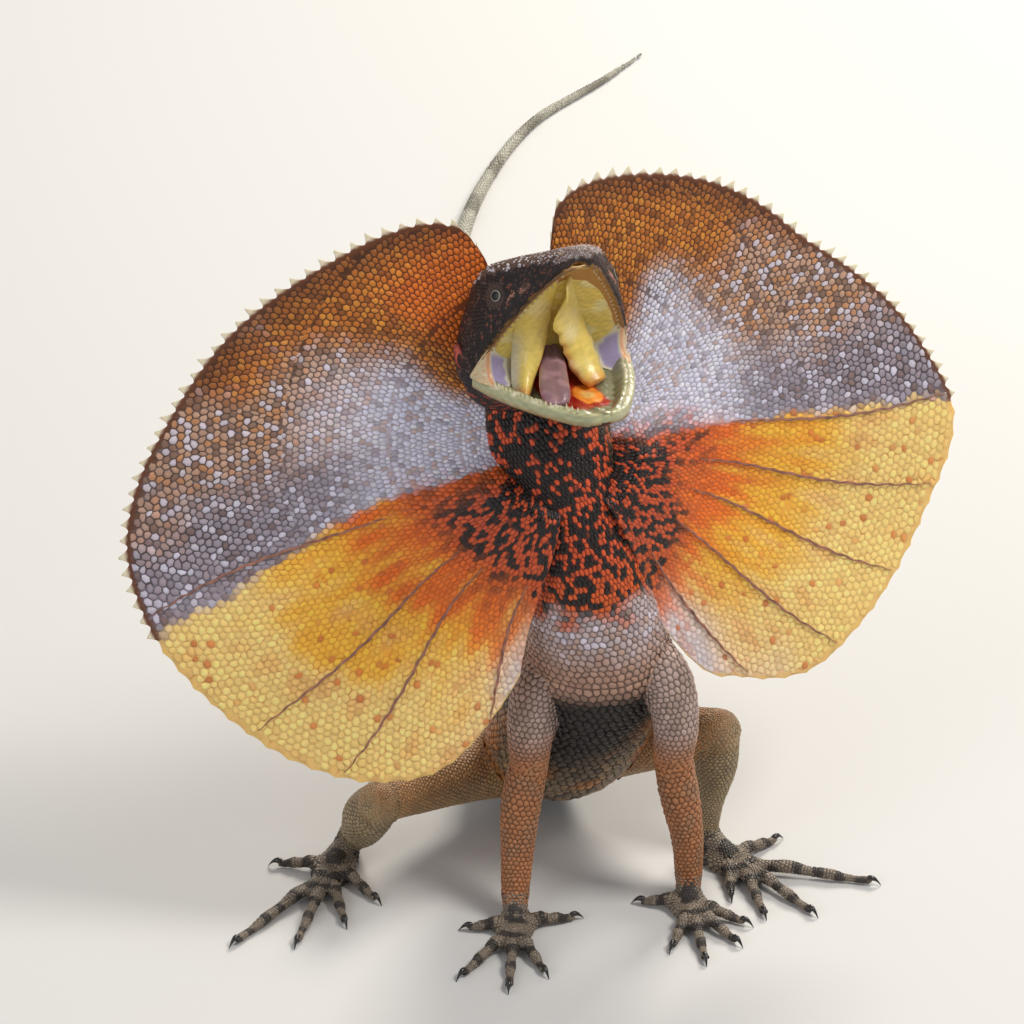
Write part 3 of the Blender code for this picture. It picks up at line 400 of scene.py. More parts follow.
def tied(thing, finish, nodes=()):
    """Gives a piece its finish, hangs it on the root and hides the parts that it stands for."""
    thing.data.materials.clear()
    thing.data.materials.append(finish)
    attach(thing, "root")
    if nodes:
        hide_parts(*nodes)
    return thing


def finish(name, roughness=0.5, mottling=0.25, grain=0.0009, bump=0.25, sheen=0.0, soft=0.0, coat=0.0):
    """A skin finish: the tint on the mesh, mottled by fine noise that also makes its grain."""
    if name in made:
        return made[name]
    look = bpy.data.materials.new("finish_" + name)
    made[name] = look
    look.use_nodes = True
    nodes, links = look.node_tree.nodes, look.node_tree.links
    shader = nodes["Principled BSDF"]
    place = nodes.new("ShaderNodeTexCoord")
    tint = nodes.new("ShaderNodeAttribute")
    tint.attribute_name = "tint"
    noise = nodes.new("ShaderNodeTexNoise")
    noise.inputs["Scale"].default_value = 1.0 / grain
    noise.inputs["Detail"].default_value = 4.0
    links.new(place.outputs["Object"], noise.inputs["Vector"])
    spread = nodes.new("ShaderNodeMapRange")
    spread.inputs["To Min"].default_value = 1.0 - mottling
    spread.inputs["To Max"].default_value = 1.0 + mottling
    links.new(noise.outputs["Fac"], spread.inputs["Value"])
    mix = nodes.new("ShaderNodeVectorMath")
    mix.operation = "SCALE"
    links.new(tint.outputs["Color"], mix.inputs[0])
    links.new(spread.outputs["Result"], mix.inputs["Scale"])
    links.new(mix.outputs["Vector"], shader.inputs["Base Color"])
    rough = nodes.new("ShaderNodeMapRange")
    rough.inputs["To Min"].default_value = roughness - 0.1
    rough.inputs["To Max"].default_value = roughness + 0.1
    links.new(noise.outputs["Fac"], rough.inputs["Value"])
    links.new(rough.outputs["Result"], shader.inputs["Roughness"])
    raised = nodes.new("ShaderNodeBump")
    raised.inputs["Strength"].default_value = bump
    raised.inputs["Distance"].default_value = 0.0003
    links.new(noise.outputs["Fac"], raised.inputs["Height"])
    links.new(raised.outputs["Normal"], shader.inputs["Normal"])
    shader.inputs["Sheen Weight"].default_value = sheen
    shader.inputs["Coat Weight"].default_value = coat
    shader.inputs["Coat Roughness"].default_value = 0.15
    if soft:
        shader.inputs["Subsurface Weight"].default_value = soft
        shader.inputs["Subsurface Radius"].default_value = (1.0, 0.5, 0.25)
        shader.inputs["Subsurface Scale"].default_value = 0.002
    return look


# Flesh: the grids that the skin is made from

def limb_grid(stations, sides, grow=0.0, spacing=1.0):
    """Rings of a leg's length with round ends, through stations of x, y, z and radius."""
    stations = np.array(stations)
    rows = np.column_stack((stations[:, :3], stations[:, 3], stations[:, 3], stations[:, 3]))
    along = chords(rows[:, :3])
    spots = np.linspace(0.0, along[-1], max(4, round(along[-1] / spacing)))
    rings = rings_along(rows, spots, sides, grow, hint=(0.3, 1.0, 0.2))
    start, end = rings[0].mean(axis=0), rings[-1].mean(axis=0)
    back = unit(start - rings[1].mean(axis=0)) * (stations[0, 3] + grow)
    front = unit(end - rings[-2].mean(axis=0)) * (stations[-1, 3] + grow)
    tilts = np.radians((75.0, 60.0, 45.0, 30.0, 15.0))
    head = [start + (rings[0] - start) * math.cos(t) + back * math.sin(t) for t in tilts]
    tail = [end + (rings[-1] - end) * math.cos(t) + front * math.sin(t) for t in tilts[::-1]]
    return floored(np.concatenate((head, rings, tail)), -grow)


def spine_grid(start, end, sides, grow=0.0, spacing=1.0):
    """Rings of the body between two of its stations."""
    names = list(SPINE)
    stations = np.array(list(SPINE.values()))
    along = chords(stations[:, :3])
    first, last = along[names.index(start)], along[names.index(end)]
    spots = np.linspace(first, last, max(3, round((last - first) / spacing) + 1))
    return floored(rings_along(stations, spots, sides, grow), -grow)


def lip_line(forward):
    """Height of the upper lip over the hinge, at a distance forward of it."""
    slope = np.maximum(forward, 0.0) * math.tan(math.radians(GAPE))
    return slope - LIP_DROOP * np.maximum(forward - DROOP_FROM, 0.0) ** 2


def head_rows(spacing):
    """The head's widths and heights at even steps from neck to snout."""
    table = np.array(HEAD_SECTIONS)
    spots = np.linspace(table[0, 0], table[-1, 0], round((table[-1, 0] - table[0, 0]) / spacing) + 1)
    return smooth(table[:, 0], table, spots)


def head_half(rows, grow):
    """Right half of each cross-section of the head, from the middle of the palate to that of the roof."""
    forward, roof, roof_half, cheek, lip = rows.T
    bottom = lip_line(forward)
    tall = roof - bottom
    vault = PALATE * np.clip(forward / PALATE_RISE, 0.0, 1.0) * np.minimum(1.0, tall / 16.0)
    zero = np.zeros_like(forward)
    half = np.array([
        (zero, bottom + vault),
        (0.45 * lip, bottom + 0.85 * vault),
        (lip - 2.4, bottom + 0.25 * vault),
        (lip - 0.9, bottom),
        (lip + LIP_SWELL, bottom + 0.5),
        (lip + LIP_SWELL, bottom + LIP_HEIGHT),
        (cheek - 0.2, bottom + LIP_HEIGHT + 0.16 * tall),
        (0.5 * (cheek + roof_half) + 0.6, bottom + 0.62 * tall),
        (roof_half + 0.5, roof - BROW_DROP),
        (roof_half - 1.6, roof - 0.2),
        (roof_half * 0.5, roof + 0.4),
        (zero, roof + 0.5),
    ]).transpose(2, 0, 1)
    middle = np.stack((zero, 0.5 * (roof + bottom)), axis=1)[:, None]
    outward = half - middle
    return half + grow * unit(outward)


def snout_cap(grid, middle):
    """Three more rings that round off the snout, drawn in towards the middle of its end."""
    forward = head_axes()[1]
    steps = ((0.84, 0.5), (0.55, 0.8), (0.22, 0.9))
    closer = [middle + (grid[-1] - middle) * share + forward * out for share, out in steps]
    return np.concatenate((grid, closer))


def head_grid(grow=0.0, spacing=1.5):
    """The whole skull and upper jaw as closed rings."""
    rows = head_rows(spacing)
    half = head_half(rows, grow)
    other = half[:, -2:0:-1] * np.array([-1.0, 1.0])
    ring = np.concatenate((half, other), axis=1)
    forward = np.broadcast_to(rows[:, :1], ring.shape[:2])
    grid = head_place(np.stack((ring[..., 0], forward, ring[..., 1]), axis=-1))
    return snout_cap(grid, grid[-1].mean(axis=0))


def jaw_rows(spacing):
    """The lower jaw's sizes at even steps from behind the hinge to the chin."""
    table = np.array(JAW_SECTIONS)
    spots = np.linspace(table[0, 0], table[-1, 0], round((table[-1, 0] - table[0, 0]) / spacing) + 1)
    rows = smooth(table[:, 0], table, spots)
    rows[:, 1] = np.clip(rows[:, 1], 0.0, 1.0)
    return rows


def jaw_place(reach, share, across, lift):
    """Points by their distance along the lower jaw, across it and over its rim."""
    tilt = -math.radians(GAPE) * np.asarray(share)
    turn = math.radians(GAPE)
    ahead = np.where(reach > 0, reach * math.cos(turn), reach)
    down = np.where(reach > 0, -reach * math.sin(turn), 0.0)
    local = np.stack((across, ahead - np.sin(tilt) * lift, down + np.cos(tilt) * lift), axis=-1)
    return head_place(local)


def jaw_half(rows, grow):
    """Right half of each cross-section of the lower jaw, from its underside to the floor of the mouth."""
    _, _, wide, vault, depth = rows.T
    zero = np.zeros_like(wide)
    return np.array([
        (zero, -depth * 1.04 - grow),
        (0.45 * wide, -depth - grow),
        (0.80 * wide + grow, -0.80 * depth - grow),
        (0.98 * wide + grow, -0.40 * depth),
        (wide + grow, zero - 1.0),
        (wide - 0.7, zero),
        (wide - 2.0, zero - 0.1),
        (np.maximum(wide - 4.0, 0.5 * wide), -0.7 * vault),
        (0.3 * wide, -vault),
        (zero, -vault),
    ]).transpose(2, 0, 1)


def jaw_grid(grow=0.0, spacing=1.5):
    """The whole lower jaw as closed rings."""
    rows = jaw_rows(spacing)
    half = jaw_half(rows, grow)
    ring = np.concatenate((half, half[:, -2:0:-1] * np.array([-1.0, 1.0])), axis=1)
    reach = np.broadcast_to(rows[:, :1], ring.shape[:2])
    share = np.broadcast_to(rows[:, 1:2], ring.shape[:2])
    return jaw_place(reach, share, ring[..., 0], ring[..., 1])


def toe_grid(root, tip, sides, grow=0.0):
    """Rings of a toe that lies on the floor, arched at its knuckle, with swollen joints."""
    root, tip = np.asarray(root, float), np.asarray(tip, float)
    share = np.linspace(0.0, 1.0, 25)
    line = root[None] + (tip - root)[None] * share[:, None]
    radius = TOE_RADIUS * (1.15 - 0.45 * share) * (1.0 + 0.10 * np.cos(share * 6 * math.pi))
    height = radius * 0.9 + 1.8 * np.sin(math.pi * np.clip(share * 1.2, 0, 1)) * (1 - share)
    stations = np.column_stack((line[:, 0], line[:, 1], height, radius, radius, radius))
    along = chords(stations[:, :3])
    rings = rings_along(stations, np.linspace(0.0, along[-1], 25), sides, grow, hint=(0.0, 0.0, 1.0))
    return floored(rings, -grow)


def foot_parts(centre, long, wide, tips, ankle, grow=0.0):
    """The palm's rings, the ankle's, and each toe's, with the toes' roots and tips."""
    centre = np.array([centre[0], centre[1], 0.0])
    forward = unit(np.append(np.mean(tips, axis=0), 0.0) - centre)
    side = np.array([-forward[1], forward[0], 0.0])
    turn = circle(32)
    outline = np.cos(turn)[:, None] * side * (wide + grow) + np.sin(turn)[:, None] * forward * (long + grow)
    level = np.linspace(0.0, 1.0, 9)
    share = np.interp(level, (0.0, 0.35, 0.75, 0.93, 1.0), (0.88, 1.0, 0.85, 0.5, 0.08))
    palm = centre + outline[None] * share[:, None, None]
    palm[..., 2] = (level * (PALM_HEIGHT + grow))[:, None]
    toes = []
    for number, tip in enumerate(tips):
        tip = np.append(tip, 0.0)
        reach = unit(tip - centre) * np.array([wide, wide, 0.0]) * 0.35
        root = centre + forward * long * 0.35 + reach if 0 < number < 4 else centre + reach
        toes.append((root, tip))
    return palm, limb_grid(ankle, 20, grow), toes


def feet(grow=0.0):
    """Each hand and foot by name, with its parts."""
    found = {}
    for side in ("left", "right"):
        wrist = FOREARM[side][-1]
        palm, long, wide, tips = HAND[side]
        ankle = ((wrist[0], wrist[1], wrist[2], wrist[3] * 0.95), (palm[0], palm[1] + 2.0, 3.6, 3.6))
        found["hand_" + side] = foot_parts(palm, long, wide, tips, ankle, grow)
        joint = SHANK[side][-1]
        sole, long, wide, tips = FOOT[side]
        ankle = ((joint[0], joint[1], joint[2], joint[3] * 0.95), (sole[0], sole[1], 3.8, 3.8))
        found["foot_" + side] = foot_parts(sole, long, wide, tips, ankle, grow)
    return found


def frill_axes():
    """Rows right, up and out of the frill's dish, right being the animal's left."""
    yaw, lean, roll = (math.radians(value) for value in (FRILL_YAW, FRILL_TIP_BACK, FRILL_ROLL))
    out = np.array([math.sin(yaw) * math.cos(lean), -math.cos(yaw) * math.cos(lean), math.sin(lean)])
    right = np.array([math.cos(yaw), math.sin(yaw), 0.0])
    up = np.cross(right, out)
    up = up * np.sign(up[2])
    return np.array([math.cos(roll) * right + math.sin(roll) * up,
                     math.cos(roll) * up - math.sin(roll) * right, out])


def throat_lift(angle, radius):
    """How far the frill's root is drawn forward on to the throat, below the jaw."""
    return 12.0 * step(66.0, 27.0, radius) * step(9.0, 25.0, radius) * step(80.0, 120.0, angle)


def frill_point(angle, radius, sign, lift=0.0):
    """A point of the frill: its hub, plus radius times the line at that angle, plus a lift out of the dish.

    The line is sign sin a right + cos a up + (fold - sweep) out, the fold a sine of eleven times the angle.
    """
    right, up, out = frill_axes()
    turn = np.radians(angle)
    fold = RIPPLE * np.sin(turn * 11.0)
    roll = math.radians(FRILL_ROLL)
    sweep = math.tan(math.radians(FRILL_SWEEP)) * np.abs(np.sin(turn - sign * roll))
    flat = sign * np.sin(turn)[..., None] * right + np.cos(turn)[..., None] * up
    line = flat + (fold - sweep)[..., None] * out
    lift = np.asarray(lift) + throat_lift(np.asarray(angle), np.asarray(radius))
    return np.asarray(FRILL_HUB) + np.asarray(radius)[..., None] * line + lift[..., None] * out


def rim_radius(side, angle):
    """The frill's outline without its teeth."""
    table = np.array(OUTLINES[side])
    flat = np.clip(np.asarray(angle, float).ravel(), table[0, 0], table[-1, 0])
    return smooth(table[:, 0], table, flat)[:, 1].reshape(np.shape(angle))


def ray_way(side, angle, radius):
    """Distance in millimetres from each place to the nearest ray, which wavers a little on its way out."""
    nearest = np.full(np.broadcast(angle, radius).shape, 99.0)
    for ray in RAYS[side]:
        bent = ray + 1.2 * np.sin(radius / 19.0 + ray)
        nearest = np.minimum(nearest, np.abs(np.radians(angle - bent) * radius))
    return nearest


def ray_lift(side, angle, radius):
    """Height of the rays over the frill: a bell across each, about a millimetre to either side."""
    return 0.6 * np.exp(-(ray_way(side, angle, radius) / 0.9) ** 2) * step(22.0, 38.0, radius)


# Scales: cells laid over a grid, and the plates that stand on them

def lattice(grid, count, closed=True, ratio=0.9, loose=0.16):
    """Staggered six-sided cells over a grid: rows as far apart as ratio times a cell's width.

    Shared corners are pushed about by smooth noise, by about loose of a cell, so that no two match.

    Gives centres (N, 3), corners (N, 6, 3), normals (N, 3), the way along (N, 3) and each cell's
    place (N, 2) from nought to one along and around. count is the number of cells around.
    """
    rows, sides = grid.shape[:2]
    loop = np.concatenate((grid, grid[:, :1]), axis=1) if closed else grid
    around = np.linalg.norm(np.diff(loop, axis=1), axis=2).sum(axis=1)
    along = np.linalg.norm(np.diff(grid, axis=0), axis=2).mean(axis=1)
    width = np.maximum(around / count, 0.25)
    run = np.concatenate(([0.0], np.cumsum(along / (ratio * 0.5 * (width[1:] + width[:-1])))))
    run = run * max(1, round(run[-1])) / run[-1]
    number = np.arange(round(run[-1]))
    cells = np.arange(count)
    k, j = (value.ravel() for value in np.meshgrid(number, cells, indexing="ij"))
    scale = sides if closed else sides - 1

    def at(row, column):
        ring = column / count * 2 * math.pi
        spot = np.stack((row, np.cos(ring) * count / 6.3, np.sin(ring) * count / 6.3), axis=-1).reshape(-1, 3)
        if loose:
            row = row + loose * wander(spot, 2.6, 91).reshape(row.shape)
            column = column + loose * wander(spot, 2.3, 92).reshape(column.shape)
        return read(grid, np.interp(row, run, np.arange(rows)), column / count * scale, closed)

    row = k + 0.5
    column = j + 0.5 + 0.5 * (k % 2)
    if not closed:
        keep = column < count
        k, row, column = k[keep], row[keep], column[keep]
    centre = at(row, column)
    ahead = at(row + 0.3, column) - at(row - 0.3, column)
    aside = at(row, column + 0.3) - at(row, column - 0.3)
    normal = unit(np.cross(aside, ahead))
    down = np.array([2 / 3, 1 / 3, -1 / 3, -2 / 3, -1 / 3, 1 / 3])
    over = np.array([0.0, 0.5, 0.5, 0.0, -0.5, -0.5])
    corners = at(row[:, None] + down, column[:, None] + over)
    place = np.column_stack((row / max(run[-1], 1.0), column / count))
    return {"centre": centre, "corners": corners, "normal": normal, "along": unit(ahead), "place": place}


def picked(cells, keep):
    """The cells that a mask or an index keeps."""
    return {key: value[keep] for key, value in cells.items()}


def merged(groups):
    """Several sets of cells as one."""
    return {key: np.concatenate([group[key] for group in groups]) for key in groups[0]}


def outward(cells, middle):
    """Turns the cells' normals away from a middle line or point, given for each cell."""
    turn = np.sign(np.einsum("ij,ij->i", cells["normal"], cells["centre"] - middle))
    cells["normal"] = cells["normal"] * np.where(turn == 0, 1.0, turn)[:, None]
    return cells


def seated(cells, limit=1.3):
    """Moves each cell onto the skin below it and drops those that the skin has swallowed."""
    tree = made["tree"]
    found = [tree.find_nearest(Vector(point)) for point in cells["centre"]]
    place = np.array([hit[0] for hit in found])
    normal = np.array([hit[1] for hit in found])
    gap = place - cells["centre"]
    inside = np.einsum("ij,ij->i", gap, cells["normal"])
    keep = (np.linalg.norm(gap, axis=1) < limit) & (inside < 0.8 * limit)
    keep &= np.einsum("ij,ij->i", normal, cells["normal"]) > 0.25
    cells["centre"] = cells["centre"] + gap
    cells["corners"] = cells["corners"] + gap[:, None]
    cells["normal"] = unit(cells["normal"] + normal)
    return picked(cells, keep)


def plate_meshes(cells, tint, height, bordered=0.3, inset=0.74, keel=0.0, lean=0.0, sink=0.12, seed=3,
                 patch=(0, 0, 1, 1), vary=0.14):
    """Scales over cells: a sunk edge, a shoulder set in and raised, and a crown.

    Each scale has 13 points and 22 faces. Its height is varied by three tenths, its colour by vary.
    lean raises the edge that lies towards the tail, keel moves the crown that way and lifts it.
    """
    count = len(cells["centre"])
    draw = np.random.default_rng(seed)
    centre, normal = cells["centre"][:, None], cells["normal"][:, None]
    spread = cells["corners"] - centre
    size = np.linalg.norm(spread, axis=2, keepdims=True).mean(axis=1, keepdims=True)
    tall = height * size * draw.uniform(0.7, 1.3, (count, 1, 1))
    inset = inset * draw.uniform(0.88, 1.08, (count, 1, 1))
    lie = -cells["along"][:, None]
    back = (spread * lie).sum(axis=2, keepdims=True) / np.maximum(size, 1e-6)
    edge = centre + spread * 0.97 - sink * normal
    shoulder = centre + spread * inset + normal * tall * (0.75 + lean * back)
    crown = centre + lie * size * keel * 0.5 + normal * tall * (1.05 + 0.8 * keel)
    points = np.concatenate((edge, shoulder, crown), axis=1)
    side = np.arange(6)
    ahead = (side + 1) % 6
    one = np.concatenate((
        np.stack((side, ahead, ahead + 6), 1), np.stack((side, ahead + 6, side + 6), 1),
        np.stack((side + 6, ahead + 6, np.full(6, 12)), 1),
        np.stack((side[2:], side[1:-1], np.zeros(4, int)), 1)))
    across = np.cross(spread[:, 0], spread[:, 1])
    turned = np.einsum("ij,ij->i", across, cells["normal"]) < 0
    faces = np.broadcast_to(one, (count,) + one.shape).copy()
    faces[turned] = faces[turned][:, :, ::-1]
    faces += (np.arange(count) * 13)[:, None, None]
    tint = tint * draw.uniform(1.0 - vary, 1.0 + vary, (count, 1))
    # painted highlight: each scale's crown is 8 per cent brighter than its shoulder
    whole = np.stack([tint * bordered] * 6 + [tint] * 6 + [tint * 1.08], axis=1)
    bake = root_patches(cells, points, size, patch)
    return points.reshape(-1, 3), faces.reshape(-1, 3), whole.reshape(-1, 3), bake.reshape(-1, 2)


def root_patches(cells, points, size, patch):
    """Bake places: each scale in a square 0.003 across at its own place along and around its part."""
    low_u, low_v, high_u, high_v = patch
    place = 0.004 + 0.992 * cells["place"]
    root = np.array([low_u, low_v]) + place * np.array([high_u - low_u, high_v - low_v])
    lie = cells["along"][:, None]
    side = np.cross(cells["normal"], cells["along"])[:, None]
    offset = points - cells["centre"][:, None]
    flat = np.stack(((offset * lie).sum(axis=2), (offset * side).sum(axis=2)), axis=-1) / (2.2 * size)
    return root[:, None] + 0.0015 * np.clip(flat * 2.0, -1.0, 1.0)


def coat_piece(name, groups, look):
    """One coat piece from several groups of scales."""
    points, faces, tints, bakes, base = [], [], [], [], 0
    for group_points, group_faces, group_tint, group_bake in groups:
        points.append(group_points)
        faces.append(group_faces + base)
        tints.append(group_tint)
        bakes.append(group_bake)
        base += len(group_points)
    thing = mesh_piece(name, np.concatenate(points), [np.concatenate(faces)], np.concatenate(tints),
                       np.concatenate(bakes))
    return tied(thing, look)


# Colours

TONES = {
    "crown": tone(196, 112, 32), "crown edge": tone(112, 60, 22), "crown light": tone(224, 144, 50),
    "middle": tone(190, 148, 124), "middle orange": tone(198, 130, 74), "middle dark": tone(98, 70, 58),
    "lavender": tone(224, 216, 232), "white": tone(240, 234, 240), "blue grey": tone(146, 136, 148),
    "yellow": tone(255, 182, 54), "deep orange": tone(238, 108, 20), "cream": tone(255, 210, 126),
    "peach": tone(248, 198, 150), "spot": tone(206, 104, 44), "ray": tone(146, 100, 84),
    "throat red": tone(204, 78, 34), "throat black": tone(26, 14, 11), "chest": tone(188, 170, 170),
    # belly: near black, painted shade of the underside in shadow
    "chest low": tone(172, 134, 114), "belly": tone(30, 22, 19), "flank": tone(186, 116, 52),
    "back": tone(132, 112, 88), "upper arm": tone(176, 150, 140), "forearm": tone(168, 108, 66),
    "thigh": tone(172, 138, 96), "shank": tone(158, 138, 104), "foot": tone(128, 114, 98),
    "foot band": tone(58, 50, 44), "tail": tone(168, 164, 148), "tail band": tone(104, 98, 84),
    "head": tone(34, 20, 17), "head red": tone(150, 76, 54), "roof": tone(104, 76, 60),
    "jaw": tone(26, 15, 13), "palate": tone(228, 200, 104), "palate pale": tone(236, 218, 156),
    "palate edge": tone(156, 112, 56), "fold": tone(230, 204, 104), "fold edge": tone(206, 116, 40),
    "rim": tone(176, 176, 136), "tongue": tone(140, 108, 116), "flesh red": tone(190, 40, 30),
    "flame": tone(255, 150, 50), "lilac": tone(160, 150, 190), "gum white": tone(220, 212, 186),
    "membrane": tone(214, 186, 140),
}


def scattered(colour, choices, seed):
    """Rows of colour, some moved at random towards a tone: each choice is its name and share of the rows."""
    pick = np.random.default_rng(seed).uniform(size=len(colour))
    start = 0.0
    for name, share in choices:
        chosen = (pick >= start) & (pick < start + share)
        colour = np.where(chosen[:, None], 0.35 * colour + 0.65 * TONES[name], colour)
        start += share
    return colour


def dish_polar(points):
    """Angle from the frill's mid line, signed to the animal's left, and radius about its hub."""
    right, up, _ = frill_axes()
    offset = points - np.asarray(FRILL_HUB)
    x, y = offset @ right, offset @ up
    return np.degrees(np.arctan2(x, y)), np.hypot(x, y)


def throat_tint(points):
    """Red skin with black spots drawn out along the lines from the frill's hub."""
    angle, radius = dish_polar(points)
    lines = np.column_stack((np.radians(angle) * 34.0, radius * 0.40, points[:, 1] * 0.08))
    dark = wander(lines, 2.3, 21) + 0.4 * wander(lines, 6.0, 22)
    share = step(-0.04, 0.04, dark - 0.10 + 0.5 * step(38.0, 18.0, radius) - 0.15 * step(44.0, 58.0, radius))
    red = blend(TONES["throat red"], TONES["deep orange"] * 0.75, step(34.0, 60.0, radius) * 0.7)
    return blend(red, TONES["throat black"], share)


def frill_tint(side, angle, radius, points):
    """The frill: orange-brown crown, lavender by the head, blue-grey band, then yellow and cream below, the
    skin's own colour brightened by painted glow of light shining through it.

    Beside the head the right crown has a painted orange glow of light shining through it. The edge next to
    the chest turns to lavender.
    """
    rim = rim_radius(side, angle)
    rate = radius / rim
    seed = 5 if side == "left" else 6
    slow = wander(points, 38.0, seed)
    fine = wander(points, 9.0, seed + 10)
    boundary = 103.5 if side == "left" else 96.0 + 7.0 * step(50.0, 120.0, radius)
    middle = np.broadcast_to(TONES["middle"], points.shape)
    middle = scattered(middle, (("middle orange", 0.22), ("lavender", 0.2), ("middle dark", 0.2)), seed + 30)
    lavender = np.broadcast_to(TONES["lavender"], points.shape)
    lavender = scattered(lavender, (("white", 0.25), ("blue grey", 0.1), ("middle", 0.12)), seed + 31)
    colour = blend(middle, lavender, step(0.76, 0.44, rate + 0.06 * slow))
    band = step(boundary - 22.0, boundary - 8.0, angle + 3.0 * slow) * step(0.36, 0.55, rate)
    grey = np.broadcast_to(TONES["blue grey"], points.shape)
    colour = blend(colour, scattered(grey, (("lavender", 0.2), ("middle dark", 0.12)), seed + 32), 0.9 * band)
    crown_end = 47.0 + 5.0 * slow + 16.0 * step(0.62, 0.98, rate)
    crown = step(crown_end + 10.0, crown_end - 6.0, angle)
    # painted glow: the right crown turns deep orange beside the head, as if lit through
    glow = step(80.0, 62.0, radius) * step(42.0, 32.0, angle) * (side == "right")
    orange = np.broadcast_to(TONES["crown"], points.shape)
    orange = scattered(orange, (("crown light", 0.22), ("crown edge", 0.22)), seed + 33)
    orange = blend(orange, TONES["crown edge"], 0.8 * step(0.86, 1.0, rate) + 0.15 * step(0.2, 1.0, fine))
    colour = blend(colour, orange, crown)
    colour = blend(colour, TONES["deep orange"], 0.7 * glow)
    streak = wander(np.column_stack((np.radians(angle) * 62.0, radius * 0.16)), 5.0, seed + 40)
    # the yellow and cream below are the skin's colour brightened by painted glow of light through it
    low = blend(TONES["deep orange"], TONES["yellow"], step(0.38, 0.62, rate + 0.08 * streak))
    low = blend(low, TONES["cream"], step(0.58, 0.84, rate + 0.05 * slow + 0.06 * streak))
    low = blend(low, TONES["peach"], step(141.0, 160.0, angle) * 0.6)
    low = blend(low, TONES["lavender"] * 0.85,
                0.75 * step(149.0, 163.0, angle + 3.0 * slow) * step(0.24, 0.42, rate))
    low = blend(low, TONES["spot"], 0.30 * step(0.5, 1.1, streak) * step(0.45, 0.7, rate))
    draw = np.random.default_rng(seed + 20)
    spots = (draw.uniform(size=len(radius)) < 0.085) * step(-0.4, 0.5, fine)
    low = blend(low, TONES["spot"], spots * 0.8)
    colour = blend(colour, low, step(boundary - 1.0, boundary + 1.0, angle + 0.5 * fine))
    inner = 42.0 + 5.0 * slow + 12.0 * step(120.0, 150.0, angle)
    throat = step(inner + 9.0, inner - 7.0, radius + 4.0 * streak) * step(84.0, 112.0, angle)
    colour = blend(colour, TONES["deep orange"], 0.8 * step(inner + 22.0, inner + 4.0, radius + 6.0 * streak)
                   * step(96.0, 110.0, angle))
    return blend(colour, throat_tint(points), throat)


def frill_gap(side, angle, radius):
    """Brightness of the skin between the frill's scales: dark in the crown, bright in the thin lower lobe,
    where painted glow stands for light shining through it.
    """
    rate = radius / rim_radius(side, angle)
    # painted glow: the gaps of the lower lobe are bright as if lit through
    low = step(99.0, 106.0, angle) if side == "left" else step(94.0, 104.0, angle)
    lavender = step(0.8, 0.45, rate) * step(46.0, 62.0, angle)
    gap = 0.26 + 0.42 * lavender
    return gap + (0.84 - gap) * low * step(0.34, 0.5, rate)


def trunk_tint(points):
    """The trunk and tail by their place along the body and by the side that faces the throat; painted shade
    turns the underside near black.
    """
    radius = dish_polar(points)[1]
    front = step(16.0, 2.0, points[:, 1])
    chest = np.broadcast_to(TONES["chest"], points.shape)
    chest = scattered(chest, (("lavender", 0.12), ("chest low", 0.25)), 34)
    chest = blend(chest, TONES["chest low"], step(102.0, 84.0, points[:, 2]))
    # painted shade: the chest darkens to near black below, where the belly lies in shadow
    chest = blend(chest, TONES["belly"], step(80.0, 72.0, points[:, 2]))
    throat = step(64.0, 52.0, radius + 4.0 * wander(points, 12.0, 31))
    chest = blend(chest, throat_tint(points), throat)
    banding = step(0.0, 0.7, np.sin(points[:, 1] * 2 * math.pi / 34.0) + 0.3 * wander(points, 9.0, 33))
    tail = blend(TONES["tail"], TONES["tail band"], 0.7 * banding)
    back = scattered(np.broadcast_to(TONES["back"], points.shape), (("thigh", 0.2), ("foot band", 0.15)), 35)
    flank = step(-0.2, 1.0, wander(points, 20.0, 32) + 0.05 * (np.abs(points[:, 0] - 8.0) - 16.0))
    back = blend(back, TONES["flank"], 0.75 * flank)
    # painted shade: the low underside near the ground turns near black
    under = step(18.0, 4.0, points[:, 2] - 0.3 * np.abs(points[:, 0])) * step(70.0, 50.0, points[:, 1])
    body = blend(blend(back, TONES["belly"], under), chest, front)
    return blend(body, tail, step(85.0, 150.0, points[:, 1]))


def head_tint(points):
    """Dark brown with reddish flecks, a broken reddish line from eye to snout, and a paler roof flecked with
    painted white highlights.
    """
    _, forward, upward = head_local(points).T
    colour = np.broadcast_to(TONES["head"], points.shape)
    colour = scattered(colour, (("head red", 0.05), ("middle dark", 0.16)), 41)
    line = 18.4 + 0.36 * (forward - 20.0)
    near = step(1.2, 0.5, np.abs(upward - line)) * step(17.5, 19.5, forward) * step(30.0, 27.0, forward)
    near = near * step(-0.5, 0.1, wander(points, 3.0, 42))
    colour = blend(colour, 0.5 * (TONES["head red"] + TONES["middle"]), near)
    top = np.interp(forward, [row[0] for row in HEAD_SECTIONS], [row[1] for row in HEAD_SECTIONS])
    roof = step(-3.6, -3.0, upward - top + 0.4 * wander(points, 4.0, 45))
    # painted highlights: the white flecks on the roof stand for sun glinting on its keeled scales
    pale = scattered(np.broadcast_to(TONES["roof"], points.shape), (("white", 0.22), ("middle dark", 0.25)),
                     44)
    return blend(colour, pale, roof)


def jaw_tint(points):
    """The underside of the jaw: dark with reddish spots, which join the throat's."""
    colour = np.broadcast_to(TONES["jaw"], points.shape)
    fine = wander(points, 3.0, 43)
    return blend(colour, TONES["throat red"] * 0.8, 0.7 * step(0.45, 0.8, fine))


